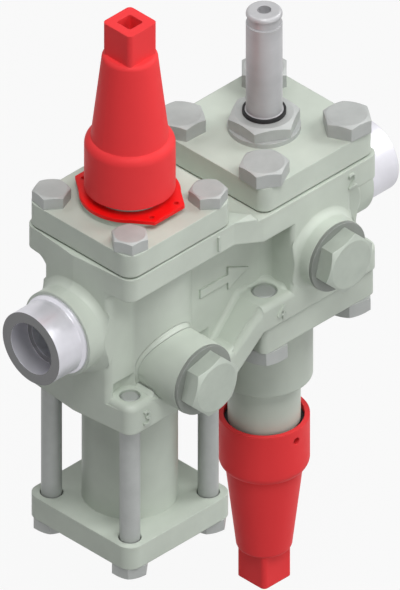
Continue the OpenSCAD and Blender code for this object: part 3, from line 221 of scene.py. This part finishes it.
def new_material(name):
    """A material, its tree and its surface shader, which is joined to the output."""
    material = bpy.data.materials.new(name)
    material.use_nodes = True
    tree = material.node_tree
    tree.nodes.clear()
    shade = Shade(tree)
    surface = shade.add("ShaderNodeBsdfPrincipled")
    shade.add("ShaderNodeOutputMaterial", {"Surface": surface.outputs["BSDF"]})
    return material, shade, surface


def dress(shade, surface, **inputs):
    """Feeds or sets the sockets of a surface shader by name."""
    for name, value in by_socket(inputs).items():
        shade.join(value, surface.inputs[name])


def relief(shade, height, strength, distance, under):
    """Normal after a bump from a height, on top of the normal given."""
    inputs = {"Height": height, "Strength": strength, "Distance": distance, "Normal": under}
    return shade.add("ShaderNodeBump", inputs).outputs["Normal"]


def colour(red, green, blue):
    """sRGB 0 to 255 to the linear colour that a shader wants."""
    values = [v / 255 for v in (red, green, blue)]
    return tuple(v / 12.92 if v <= 0.04045 else ((v + 0.055) / 1.055) ** 2.4 for v in values) + (1.0,)


def shaded(base, share, lift=0.0):
    """A colour with its red, green and blue multiplied by a share and lifted, at most to 1."""
    return tuple(min(1.0, share * c + lift) for c in base[:3]) + (1.0,)


def rubbed(shade, wear, base, worn, most):
    """A colour that goes over to the worn one at the edges, by a share at most."""
    return shade.blend(shade.math("MULTIPLY", wear["Mask"], most), base, worn)


# Kinds of finish

FINE_RELIEF = 0.02 * MM
BRIGHT_EDGE = colour(226, 226, 224)


def cast_coat(name, base, worn, grain_depth):
    """Thin protective coat over a casting: sandy skin, soft blotches, edges rubbed lighter."""
    material, shade, surface = new_material(name)
    grain = use_group(shade, CAST_GRAIN, Grain_Size=900.0, Pits=0.25)
    wear = use_group(shade, EDGE_WEAR, Radius=0.7 * MM, Breakup=300.0)
    blotches = shade.span(grain["Blotch"], NOISE_SPREAD)
    tint = shade.blend(blotches, shaded(base, share=0.9), shaded(base, share=1.06))
    dress(
        shade,
        surface,
        Base_Color=rubbed(shade, wear, tint, worn, most=0.55),
        Roughness=shade.span(grain["Blotch"], NOISE_SPREAD, (0.42, 0.56)),
        Metallic=0.0,
        Specular_IOR_Level=0.5,
        Normal=relief(shade, grain["Height"], strength=0.5, distance=grain_depth, under=wear["Normal"]),
    )
    return material


def turned_steel(name, base, axis_point, axis, roughness, end_shade_colour=None, metallic=0.55):
    """Bare machined steel with fine turning marks about one axis.
    End faces, which lie across the axis, may be given a darker colour of their own as painted shade."""
    material, shade, surface = new_material(name)
    turn = Vector((0, 0, 1)).rotation_difference(Vector(axis)).inverted().to_euler()
    shift = {0: shade.place(), 1: tuple(-c for c in axis_point)}
    centred = shade.add("ShaderNodeVectorMath", shift, operation="ADD").outputs["Vector"]
    upright = {"Vector": centred, "Rotation": turn}
    turned = shade.add("ShaderNodeVectorRotate", upright, rotation_type="EULER_XYZ").outputs["Vector"]
    marks = use_group(shade, TURNED_MARKS, Place=turned, Pitch=2400.0)
    wear = use_group(shade, EDGE_WEAR, Radius=0.4 * MM, Breakup=300.0)
    stain = shade.span(shade.noise(shade.place(), scale=55.0), NOISE_UPPER)
    tint = shade.blend(stain, base, shaded(base, share=0.84))
    # Painted shade: faces across the axis take a darker colour that stands in for the shade they fall in.
    if end_shade_colour:
        facing = shade.dot(shade.add("ShaderNodeNewGeometry").outputs["True Normal"], axis)
        end_shade_mask = shade.span(shade.math("ABSOLUTE", facing), END_SHADE_COSINES)
        tint = shade.blend(end_shade_mask, tint, end_shade_colour)
    dress(
        shade,
        surface,
        Base_Color=tint,
        Roughness=shade.span(marks["Height"], NOISE_SPREAD, (roughness - 0.06, roughness + 0.08)),
        Metallic=metallic,
        Normal=relief(shade, marks["Height"], strength=0.25, distance=FINE_RELIEF, under=wear["Normal"]),
    )
    return material


def cloudy_metal(name, base, metallic):
    """Plated or plain metal: cloudy tint, fine dull grain, bright edges."""
    material, shade, surface = new_material(name)
    wear = use_group(shade, EDGE_WEAR, Radius=0.35 * MM, Breakup=400.0)
    cloud = shade.noise(shade.place(), scale=140.0, detail=4.0)
    grain = shade.noise(shade.place(), scale=1500.0)
    tint = shade.blend(shade.span(cloud, NOISE_SPREAD), shaded(base, share=0.88), base)
    dress(
        shade,
        surface,
        Base_Color=rubbed(shade, wear, tint, BRIGHT_EDGE, most=0.5),
        Roughness=shade.span(cloud, NOISE_SPREAD, (0.46, 0.58)),
        Metallic=metallic,
        Normal=relief(shade, grain, strength=0.2, distance=FINE_RELIEF, under=wear["Normal"]),
    )
    return material


def moulded(name, base, roughness, specular=0.3):
    """Moulded, enamelled or pressed skin: faint orange peel, a few scuffs, edges a little paler."""
    material, shade, surface = new_material(name)
    wear = use_group(shade, EDGE_WEAR, Radius=0.5 * MM, Breakup=350.0)
    peel = shade.noise(shade.place(), scale=1400.0, detail=2.0)
    scuffs = shade.noise(shade.place(), scale=90.0, detail=5.0, roughness=0.7)
    pale = shaded(base, share=1.25, lift=0.02)
    dress(
        shade,
        surface,
        Base_Color=rubbed(shade, wear, base, pale, most=0.6),
        Roughness=shade.span(scuffs, NOISE_UPPER, (roughness, roughness + 0.12)),
        Specular_IOR_Level=specular,
        Normal=relief(shade, peel, strength=0.25, distance=FINE_RELIEF, under=wear["Normal"]),
    )
    return material


# Finishes by the record's slots, and those that some nodes have of their own

AXIS_A = 53.0 * MM
AXIS_B = 125.0 * MM
ALONG_X = (1, 0, 0)
ALONG_Z = (0, 0, 1)
bare_steel = colour(226, 225, 232)
# Darker grey for the end faces of turned steel: painted shade, not a colour of the steel.
painted_end_shade = colour(118, 118, 119)
finishes = {
    "casting": cast_coat("grey_green_cast_coat", colour(195, 203, 192), colour(220, 226, 217), 0.08 * MM),
    "zinc_steel": cloudy_metal("zinc_plated_steel", colour(180, 183, 181), 0.3),
    "machined_steel": turned_steel("turned_steel", bare_steel, (0, 0, 0), ALONG_X, 0.36, painted_end_shade),
    "cap_red": moulded("red_cap_plastic", colour(237, 62, 65), 0.46, specular=0.12),
    "tag_red": moulded("red_tag_enamel", colour(236, 6, 8), 0.40),
    "black_seal": moulded("black_rubber", colour(34, 34, 35), 0.6),
    "fibre_gasket": moulded("dark_fibre_gasket", colour(52, 54, 52), 0.7),
    "white_seal": moulded("white_packing", colour(226, 226, 222), 0.5),
    "gland_brass": cloudy_metal("turned_brass", colour(196, 164, 96), 1.0),
}
plug_plate = cloudy_metal("plug_plating", colour(182, 190, 180), 0.4)
ring_plate = cloudy_metal("plug_ring_plating", colour(142, 146, 141), 0.4)
tube_steel = turned_steel(
    "armature_tube_steel", colour(190, 190, 192), (AXIS_B, 0, 0), ALONG_Z, 0.46, metallic=0.3
)
stem_steel = turned_steel("stem_steel", colour(196, 196, 200), (AXIS_A, 0, 0), ALONG_Z, 0.36)
own_finish = {}
for finish, dressed in (
    (plug_plate, ("side_plug_a", "side_plug_b")),
    (ring_plate, ("side_ring_a", "side_ring_b")),
    (tube_steel, ("armature_tube", "armature", "main_piston", "solenoid_seat")),
    (tube_steel, ("regulator_seat", "regulator_cone", "regulator_spindle")),
    (stem_steel, ("stop_seat", "stop_disc", "stop_spindle", "strainer_ring")),
):
    own_finish.update(dict.fromkeys(dressed, finish))
for name, node in nodes.items():
    node.data.materials.clear()
    node.data.materials.append(own_finish.get(name, finishes[slots[name]]))


# Levels and walls of the casting that the pieces below stand on

LUG_TOP = -27.1 * MM
LOW_TOP = -13.0 * MM
SLOPE_START = 80.7 * MM
SLOPE_END = 93.7 * MM
SLOPE_COVE = 4.0 * MM
SPOT_FACE_END = 79.4 * MM
WEB_HALF = 16.5 * MM
WEB_FILLET = 3.8 * MM
RIB_HALF = 17.5 * MM
RIB_SHORT = 3.6 * MM
SIDE_RIB_HALF = 15.7 * MM
SIDE_RIB_SHORT = 3.0 * MM
NECK_R = 23.4 * MM
NECK_FILLET = 3.0 * MM
FLANGE_A_HALF = 28.3 * MM
FLANGE_B_HALF = 31.0 * MM
EDGE_ROUND = 2.6 * MM
HOLE_B_R = 5.05 * MM
HOLE_B_HALF_PITCH = 22.25 * MM
BOSS_R = 14.7 * MM
BOSS_A_Z = -21.2 * MM
holes_b = np.array(
    [(AXIS_B + x * HOLE_B_HALF_PITCH, y * HOLE_B_HALF_PITCH) for x in (-1, 1) for y in (-1, 1)]
)
slope_angle = math.atan2(LOW_TOP - LUG_TOP, SLOPE_END - SLOPE_START)
cove_start = SLOPE_START - SLOPE_COVE * math.tan(slope_angle / 2)
cove_end = cove_start + SLOPE_COVE * math.sin(slope_angle)


def floor_height(x):
    """Top of the lower flange along X: the lug, a concave arc, the slope and the higher flange."""
    slope = LUG_TOP + (x - SLOPE_START) * math.tan(slope_angle)
    drop = np.sqrt(np.maximum(SLOPE_COVE**2 - (x - cove_start) ** 2, 0.0))
    cove = LUG_TOP + SLOPE_COVE - drop
    return np.select([x < cove_start, x < cove_end, x < SLOPE_END], [LUG_TOP, cove, slope], LOW_TOP)


# Closed solids on the fixed body

WELD_DISTANCE = 1e-7
SHARP_ANGLE = math.radians(50)
QUARTER_POINTS = 9


def fixed_piece(name, points, faces, slot="casting"):
    """Object on the fixed body from points and faces, turned outwards, with the finish of the slot named."""
    mesh = bpy.data.meshes.new(name)
    mesh.from_pydata(points.tolist(), [], faces)
    shell = bmesh.new()
    shell.from_mesh(mesh)
    bmesh.ops.remove_doubles(shell, verts=shell.verts, dist=WELD_DISTANCE)
    bmesh.ops.recalc_face_normals(shell, faces=shell.faces)
    shell.to_mesh(mesh)
    shell.free()
    piece = bpy.data.objects.new(name, mesh)
    bpy.context.scene.collection.objects.link(piece)
    mesh.materials.append(finishes[slot])
    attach(piece, "station")
    return piece


def swept_solid(name, sections, slot="casting"):
    """Solid through a row of equal closed sections: neighbours are joined by four-sided faces, and the
    ends are filled."""
    count, around = sections.shape[:2]
    index = np.arange(count * around).reshape(count, around)
    near, far = index[:-1], index[1:]
    walls = np.stack([near, far, np.roll(far, -1, axis=1), np.roll(near, -1, axis=1)], axis=-1)
    faces = walls.reshape(-1, 4).tolist() + [index[0].tolist(), index[-1][::-1].tolist()]
    piece = fixed_piece(name, sections.reshape(-1, 3), faces, slot)
    piece.data.shade_smooth()
    piece.data.set_sharp_from_angle(angle=SHARP_ANGLE)
    return piece


# Cast fillets along the feet of the walls

FOOT_R = 2.0 * MM
BURY = 0.4 * MM
PLAN_STEP = 0.5 * MM
SAME_PLACE = 1e-6
RUN_OUT = 2.5 * MM
END_SHARE = 0.05
HOLE_CLEARANCE = 0.15 * MM
LEAST_FOOT_R = 0.1 * MM


def straight(start, end, out):
    """Points from start to end in plan, each with the same outward normal."""
    start, end = np.array(start), np.array(end)
    share = np.linspace(0.0, 1.0, max(2, int(np.linalg.norm(end - start) / PLAN_STEP)))[:, None]
    return np.hstack([start + share * (end - start), np.tile(out, (len(share), 1))])


def arc(centre, radius, first, last, outward, steps=24):
    """Points on a circle in plan from one angle to another, in degrees, each with its outward normal.
    The wall faces away from the circle's centre or towards it."""
    turn = np.radians(np.linspace(first, last, steps))[:, None]
    ray = np.hstack([np.cos(turn), np.sin(turn)])
    return np.hstack([np.array(centre) + radius * ray, ray if outward else -ray])


def wall_foot(name, *stretches):
    """Fillet along the foot of a wall, whose line and outward normals are given in plan.
    Its section is a quarter arc between wall and floor, upright to the line. Its radius runs out to
    almost nothing at both ends, as a quarter of a sine wave, and keeps clear of the bolt holes."""
    walk = np.vstack(stretches)
    keep = np.r_[True, np.linalg.norm(np.diff(walk[:, :2], axis=0), axis=1) > SAME_PLACE]
    walk = walk[keep]
    line = np.column_stack([walk[:, :2], floor_height(walk[:, 0])])
    out = np.column_stack([walk[:, 2:], np.zeros(len(walk))])
    along = np.gradient(line, axis=0)
    along /= np.linalg.norm(along, axis=1)[:, None]
    rise = np.cross(out, along)
    rise *= np.where(rise[:, 2:] < 0, -1.0, 1.0)
    travelled = np.r_[0.0, np.cumsum(np.linalg.norm(np.diff(line, axis=0), axis=1))]
    to_end = np.minimum(travelled, travelled[-1] - travelled)
    to_hole = np.linalg.norm(walk[:, None, :2] - holes_b, axis=2).min(axis=1) - HOLE_B_R
    radius = FOOT_R * np.sin(np.minimum(to_end / RUN_OUT + END_SHARE, 1.0) * math.pi / 2)
    radius = np.minimum(radius, np.maximum(to_hole - HOLE_CLEARANCE, LEAST_FOOT_R))
    turn = np.linspace(0.0, math.pi / 2, QUARTER_POINTS)
    across = np.r_[-BURY, 1.0, 1.0 - np.sin(turn), -BURY]
    upward = np.r_[-BURY, -BURY, 1.0 - np.cos(turn), 1.0]
    grown = np.r_[False, True, np.ones(QUARTER_POINTS, bool), False]
    lifted = np.r_[False, False, np.ones(QUARTER_POINTS, bool), True]
    side = np.where(grown, across * radius[:, None], across)
    height = np.where(lifted, upward * radius[:, None], upward)
    swept_solid(name, line[:, None] + side[..., None] * out[:, None] + height[..., None] * rise[:, None])


NECK_STEPS = 60
NECK_WEB_DEGREES = 1.0
WEB_INTO_NECK = 1.0 * MM
rib_corner_y = RIB_HALF + NECK_FILLET
rib_corner_x = math.sqrt((NECK_R + NECK_FILLET) ** 2 - rib_corner_y**2)
rib_reach = math.degrees(math.atan2(rib_corner_y, rib_corner_x))
side_corner_x = SIDE_RIB_HALF + NECK_FILLET
side_corner_y = math.sqrt((NECK_R + NECK_FILLET) ** 2 - side_corner_x**2)
side_reach = math.degrees(math.atan2(side_corner_y, side_corner_x))
web_reach = math.degrees(math.asin(WEB_HALF / NECK_R))
web_end_x = AXIS_B - NECK_R * math.cos(math.radians(web_reach)) + WEB_INTO_NECK
rib_left_x = AXIS_B - SIDE_RIB_HALF
rib_right_x = AXIS_B + SIDE_RIB_HALF
rib_end_y = -FLANGE_B_HALF + SIDE_RIB_SHORT


def beside_axis_b(walk, side):
    """A plan drawn about the origin for +Y, on the side of Y named and about module B's axis."""
    return walk * [1.0, side, 1.0, side] + [AXIS_B, 0.0, 0.0, 0.0]


def neck_walk(side, first, last):
    """Plan of module B's round neck from one angle to another, in degrees."""
    return beside_axis_b(arc((0.0, 0.0), NECK_R, first, last, True, NECK_STEPS), side)


def end_rib_walk(side):
    """Plan of the end rib's flat wall and of the fillet between it and the neck, from its end inwards."""
    flat = straight((FLANGE_B_HALF - RIB_SHORT, RIB_HALF), (rib_corner_x, RIB_HALF), (0.0, 1.0))
    corner = arc((rib_corner_x, rib_corner_y), NECK_FILLET, 270.0, 180.0 + rib_reach, False)
    return beside_axis_b(np.vstack([flat, corner]), side)


wall_foot(
    "neck_b_foot_back",
    end_rib_walk(1.0),
    neck_walk(1.0, rib_reach, 180.0 - NECK_WEB_DEGREES - web_reach),
)
wall_foot("web_foot_back", straight((SPOT_FACE_END, WEB_HALF), (web_end_x, WEB_HALF), (0.0, 1.0)))
wall_foot(
    "web_foot_front",
    straight((SPOT_FACE_END, -WEB_HALF), (rib_left_x - WEB_FILLET, -WEB_HALF), (0.0, -1.0)),
    arc((rib_left_x - WEB_FILLET, -WEB_HALF - WEB_FILLET), WEB_FILLET, 90.0, 0.0, False),
    straight((rib_left_x, -WEB_HALF - WEB_FILLET), (rib_left_x, rib_end_y), (-1.0, 0.0)),
)
wall_foot(
    "side_rib_foot",
    end_rib_walk(-1.0),
    neck_walk(-1.0, rib_reach, side_reach),
    arc((rib_right_x + NECK_FILLET, -side_corner_y), NECK_FILLET, 180.0 - side_reach, 180.0, False),
    straight((rib_right_x, -side_corner_y), (rib_right_x, rib_end_y), (1.0, 0.0)),
)


# Cast fillets that run out over the rounded edge of the lug

EDGE_SHORT = 0.9 * MM
EDGE_STEPS = 24
COVE_POINTS = 12
BOSS_FOOT_START = 18.0 * MM


def over_edge(name, ring_x, ring_z, y):
    """Solid from one ring in X and Z that is repeated along Y and sinks with the lug's rounded edge: by
    nothing up to where the round starts, and from there by the drop of its arc."""
    past = np.maximum(np.abs(y) - (FLANGE_A_HALF - EDGE_ROUND), 0.0)
    sink = EDGE_ROUND - np.sqrt(EDGE_ROUND**2 - past**2)
    sections = np.empty((len(y), len(ring_x), 3))
    sections[..., 0] = ring_x
    sections[..., 1] = y[:, None]
    sections[..., 2] = ring_z - sink[:, None]
    swept_solid(name, sections)


def slope_cove(name, side):
    """Concave arc where the lug's top runs into the slope, from the web out to the flange's rounded edge."""
    x = np.linspace(cove_start, cove_end, COVE_POINTS)
    floor = floor_height(x)
    ring_x = np.r_[x, cove_end + BURY, SLOPE_START, cove_start]
    ring_z = np.r_[floor, floor[-1] - BURY, LUG_TOP - 2 * BURY, LUG_TOP - BURY]
    y = np.linspace(WEB_HALF - BURY, FLANGE_A_HALF - EDGE_SHORT, EDGE_STEPS)
    over_edge(name, ring_x, ring_z, side * y)


def boss_lug_fillet(name, side):
    """Straight fillet between side boss A and the lug's top, on one side of the boss: the lower part of a
    ball's outline that touches both, from the boss down to the lug."""
    ball_z = LUG_TOP + FOOT_R
    ball_x = math.sqrt((BOSS_R + FOOT_R) ** 2 - (ball_z - BOSS_A_Z) ** 2)
    first = math.atan2(-(ball_z - BOSS_A_Z), -ball_x)
    turn = np.linspace(first % (2 * math.pi), 1.5 * math.pi, QUARTER_POINTS)
    ring_x = np.r_[ball_x + FOOT_R * np.cos(turn), ball_x, ball_x - FOOT_R]
    ring_z = np.r_[ball_z + FOOT_R * np.sin(turn), LUG_TOP - BURY, LUG_TOP - BURY]
    y = np.linspace(-BOSS_FOOT_START, -FLANGE_A_HALF + EDGE_SHORT, EDGE_STEPS)
    over_edge(name, AXIS_A + side * ring_x, ring_z, y)


slope_cove("slope_cove_front", -1.0)
slope_cove("slope_cove_back", 1.0)


# Cast fillet round side boss A

BOSS_FILLET_DEGREES = (-30.0, 210.0)
BOSS_FILLET_STEPS = 121
BOSS_FILLET_POINTS = 11
PAST_CONTACTS = 1.12


def boss_neck_fillet():
    """Strip that a ball leaves as it rolls round side boss A and touches the neck: for each angle about the
    boss its centre is a ball's radius outside both cylinders, and the section is the arc between the two
    contacts, closed by a point inside the casting."""
    turn = np.radians(np.linspace(*BOSS_FILLET_DEGREES, BOSS_FILLET_STEPS))
    x = (BOSS_R + FOOT_R) * np.cos(turn)
    y = -np.sqrt((NECK_R + FOOT_R) ** 2 - x**2)
    ball = np.column_stack([x + AXIS_A, y, (BOSS_R + FOOT_R) * np.sin(turn) + BOSS_A_Z])
    to_boss = np.column_stack([-np.cos(turn), np.zeros_like(turn), -np.sin(turn)])
    to_neck = np.column_stack([-x, -y, np.zeros_like(turn)]) / (NECK_R + FOOT_R)
    between = np.arccos(np.sum(to_boss * to_neck, axis=1))[:, None, None]
    share = np.linspace(0.0, 1.0, BOSS_FILLET_POINTS)[None, :, None]
    from_boss = np.sin((1 - share) * between) * to_boss[:, None]
    bend = (from_boss + np.sin(share * between) * to_neck[:, None]) / np.sin(between)
    buried = PAST_CONTACTS * (to_boss + to_neck)[:, None]
    swept_solid("boss_a_neck_fillet", ball[:, None] + FOOT_R * np.concatenate([bend, buried], axis=1))


boss_neck_fillet()
boss_lug_fillet("boss_a_lug_fillet_left", -1.0)
boss_lug_fillet("boss_a_lug_fillet_right", 1.0)


# Cast marks: a flow arrow and plain numerals

MARK_HEIGHT = 0.9 * MM
CHAMFER_START = 0.6 * MARK_HEIGHT
CHAMFER_WIDTH = 0.18 * MM
ARROW_AT = (73.5 * MM, -3.0 * MM)
ARROW_LENGTH = 26.0 * MM
ARROW_SHAFT_LENGTH = 15.0 * MM
ARROW_SHAFT_HALF = 1.9 * MM
ARROW_HEAD_HALF = 5.2 * MM
NUMERAL_HEIGHT = 9.5 * MM
WEB_NUMERAL_HEIGHT = 9.0 * MM
NUMERAL_CURVE_STEPS = 6


def flow_arrow():
    """Plain arrow along +X, raised from the web's wall that looks along -Y: a shaft and a triangular head.
    The outline stands straight up from the wall and is then drawn in towards its middle as a chamfer."""
    shaft_end, shaft, head = ARROW_SHAFT_LENGTH, ARROW_SHAFT_HALF, ARROW_HEAD_HALF
    lower = [(0, -shaft), (shaft_end, -shaft), (shaft_end, -head)]
    upper = [(shaft_end, head), (shaft_end, shaft), (0, shaft)]
    outline = np.array(lower + [(ARROW_LENGTH, 0)] + upper) + ARROW_AT
    middle = outline.mean(axis=0)
    away = outline - middle
    rings = []
    for depth, inset in ((-BURY, 0.0), (CHAMFER_START, 0.0), (MARK_HEIGHT, CHAMFER_WIDTH)):
        drawn = middle + away * (1.0 - inset / np.linalg.norm(away, axis=1)[:, None])
        rings.append(np.column_stack([drawn[:, 0], np.full(len(drawn), -WEB_HALF - depth), drawn[:, 1]]))
    swept_solid("flow_arrow", np.array(rings))


def cast_numeral(name, text, height, at):
    """Plain raised numeral on a wall that looks along -Y; at is the middle of its foot on the wall."""
    curve = bpy.data.curves.new(name, "FONT")
    curve.body = text
    curve.size = height
    curve.extrude = MARK_HEIGHT
    curve.resolution_u = NUMERAL_CURVE_STEPS
    curve.align_x = "CENTER"
    flat = bpy.data.objects.new(name, curve)
    bpy.context.scene.collection.objects.link(flat)
    bpy.context.view_layer.update()
    mesh = bpy.data.meshes.new_from_object(flat.evaluated_get(bpy.context.evaluated_depsgraph_get()))
    bpy.data.objects.remove(flat)
    mesh.transform(Matrix.Translation(Vector(at)) @ Matrix.Rotation(math.pi / 2, 4, "X"))
    points = np.array([vertex.co[:] for vertex in mesh.vertices])
    faces = [list(polygon.vertices) for polygon in mesh.polygons]
    fixed_piece(name, points, faces)


flow_arrow()
cast_numeral("numeral_1", "1", NUMERAL_HEIGHT, (72.0 * MM, -FLANGE_A_HALF, 23.6 * MM))
cast_numeral("numeral_2", "2", NUMERAL_HEIGHT, (141.0 * MM, -FLANGE_B_HALF, 20.2 * MM))
cast_numeral("numeral_3", "3", NUMERAL_HEIGHT, (33.5 * MM, -FLANGE_A_HALF, -37.6 * MM))
cast_numeral("numeral_4", "4", WEB_NUMERAL_HEIGHT, (103.0 * MM, -FLANGE_B_HALF, -22.2 * MM))


# Springs, as wire between the ends of their parts; in the valve they shorten as the piston and the armature
# lift

STEPS_PER_TURN = 32
WIRE_POINTS = 12


def compression_spring(node, wire_r, turns):
    """Round wire on a helix between the node's two ends: the wire's centre goes round the axis at a steady
    rate and climbs by a smooth step, so that the end turns lie closed. The wire's section is a circle in
    the plane through the axis."""
    low, high = (np.array(corner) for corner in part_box(node))
    axis_x, axis_y = (low[:2] + high[:2]) / 2
    coil_r = (high[0] - low[0]) / 2 - wire_r
    climb_z = high[2] - low[2] - 2 * wire_r
    share = np.linspace(0.0, 1.0, turns * STEPS_PER_TURN + 1)
    angle = 2 * math.pi * turns * share
    closed = 2 * wire_r * turns / climb_z
    climb = closed * share + (1 - closed) * share**2 * (3 - 2 * share)
    centre_z = low[2] + wire_r + climb * climb_z
    ray = np.column_stack([np.cos(angle), np.sin(angle)])
    round_wire = np.linspace(0.0, 2 * math.pi, WIRE_POINTS, endpoint=False)
    reach = coil_r + wire_r * np.cos(round_wire)
    sections = np.empty((len(share), WIRE_POINTS, 3))
    sections[..., :2] = [axis_x, axis_y] + ray[:, None] * reach[None, :, None]
    sections[..., 2] = centre_z[:, None] + wire_r * np.sin(round_wire)
    spring = swept_solid(node + "_wire", sections, slots[node])
    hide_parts(node)
    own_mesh(spring)


compression_spring("piston_spring", wire_r=0.6 * MM, turns=6)
compression_spring("armature_spring", wire_r=0.35 * MM, turns=7)


# Camera: the photograph is a true isometric view at one scale

PHOTO_SIZE = (400, 590)
PIXELS_PER_METRE = 2638.0
INLET_PIXEL = (31.0, 348.8)
CAMERA_DISTANCE = 2.0
CAMERA_REACH = 20.0
right = Vector((1, -1, 0)).normalized()
back = Vector((-1, -1, 1)).normalized()
up = back.cross(right)
off_x = (PHOTO_SIZE[0] / 2 - INLET_PIXEL[0]) / PIXELS_PER_METRE
off_y = (INLET_PIXEL[1] - PHOTO_SIZE[1] / 2) / PIXELS_PER_METRE
stand = right * off_x + up * off_y + back * CAMERA_DISTANCE
camera_data = bpy.data.cameras.new("isometric")
camera_data.type = "ORTHO"
camera_data.ortho_scale = max(PHOTO_SIZE) / PIXELS_PER_METRE
camera_data.clip_end = CAMERA_REACH
camera = bpy.data.objects.new("isometric", camera_data)
camera.matrix_world = Matrix.Translation(stand) @ Matrix((right, up, back)).transposed().to_4x4()
bpy.context.scene.collection.objects.link(camera)
bpy.context.scene.camera = camera


# Floor, lamps and world

FLOOR_HALF = 6.0
FLOOR_DROP = 0.05
FLOOR_GREY = 0.34
FLOOR_SEEN_WHITE = 0.92
LAMP_DISTANCE = 2.0
LAMP_AIM = Vector((0.09, 0.0, -0.02))
WORLD_LIGHT = 0.19
WHITE = (1.0, 1.0, 1.0, 1.0)


def pale_floor(level):
    """Matt pale floor that the camera and reflections see as near white, and that is clear from below."""
    corners = [(-1, -1), (1, -1), (1, 1), (-1, 1)]
    mesh = bpy.data.meshes.new("floor")
    mesh.from_pydata([(x * FLOOR_HALF, y * FLOOR_HALF, level) for x, y in corners], [], [(0, 1, 2, 3)])
    floor = bpy.data.objects.new("floor", mesh)
    bpy.context.scene.collection.objects.link(floor)
    material, shade, surface = new_material("pale_floor")
    dress(shade, surface, Base_Color=(FLOOR_GREY, FLOOR_GREY, FLOOR_GREY, 1.0), Roughness=0.9)
    glow = shade.add("ShaderNodeEmission", {"Color": WHITE, "Strength": 1.0}).outputs["Emission"]
    rays = shade.add("ShaderNodeLightPath").outputs
    seen = shade.math("MAXIMUM", rays["Is Camera Ray"], rays["Is Glossy Ray"])
    white = shade.math("MULTIPLY", seen, FLOOR_SEEN_WHITE)
    pale = shade.add("ShaderNodeMixShader", {0: white, 1: surface.outputs["BSDF"], 2: glow})
    from_below = shade.add("ShaderNodeNewGeometry").outputs["Backfacing"]
    clear = shade.add("ShaderNodeBsdfTransparent").outputs["BSDF"]
    both = shade.add("ShaderNodeMixShader", {0: from_below, 1: pale.outputs["Shader"], 2: clear})
    output = next(n for n in shade.tree.nodes if n.type == "OUTPUT_MATERIAL")
    shade.join(both.outputs["Shader"], output.inputs["Surface"])
    mesh.materials.append(material)
    floor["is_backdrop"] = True


def soft_lamp(name, direction, size, power):
    """Square area lamp a fixed distance out in a direction, aimed at the object's middle."""
    data = bpy.data.lights.new(name, "AREA")
    data.shape = "SQUARE"
    data.size = size
    data.energy = power
    lamp = bpy.data.objects.new(name, data)
    away = Vector(direction).normalized()
    facing = away.to_track_quat("Z", "Y").to_matrix().to_4x4()
    lamp.matrix_world = Matrix.Translation(LAMP_AIM + LAMP_DISTANCE * away) @ facing
    bpy.context.scene.collection.objects.link(lamp)


pale_floor(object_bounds()[0][2] - FLOOR_DROP)
soft_lamp("front_lamp", (-0.24, -0.38, 0.89), size=0.9, power=22.0)
soft_lamp("right_lamp", (0.70, -0.33, 0.63), size=0.9, power=18.0)
soft_lamp("low_lamp", (-0.04, -0.99, 0.12), size=1.4, power=11.5)
soft_lamp("rear_lamp", (-0.21, 0.577, 0.79), size=0.8, power=5.0)

world = bpy.data.worlds.new("studio")
world.use_nodes = True
sky = Shade(world.node_tree)
backdrop = world.node_tree.nodes["Background"]
backdrop.inputs["Color"].default_value = WHITE
rays = sky.add("ShaderNodeLightPath").outputs
camera_or_glossy = sky.math("MAXIMUM", rays["Is Camera Ray"], rays["Is Glossy Ray"])
seen = sky.math("MAXIMUM", camera_or_glossy, rays["Is Transmission Ray"])
sky.join(sky.span(seen, (0.0, 1.0), (WORLD_LIGHT, 1.0)), backdrop.inputs["Strength"])
bpy.context.scene.world = world
bpy.context.scene.view_settings.view_transform = "Standard"
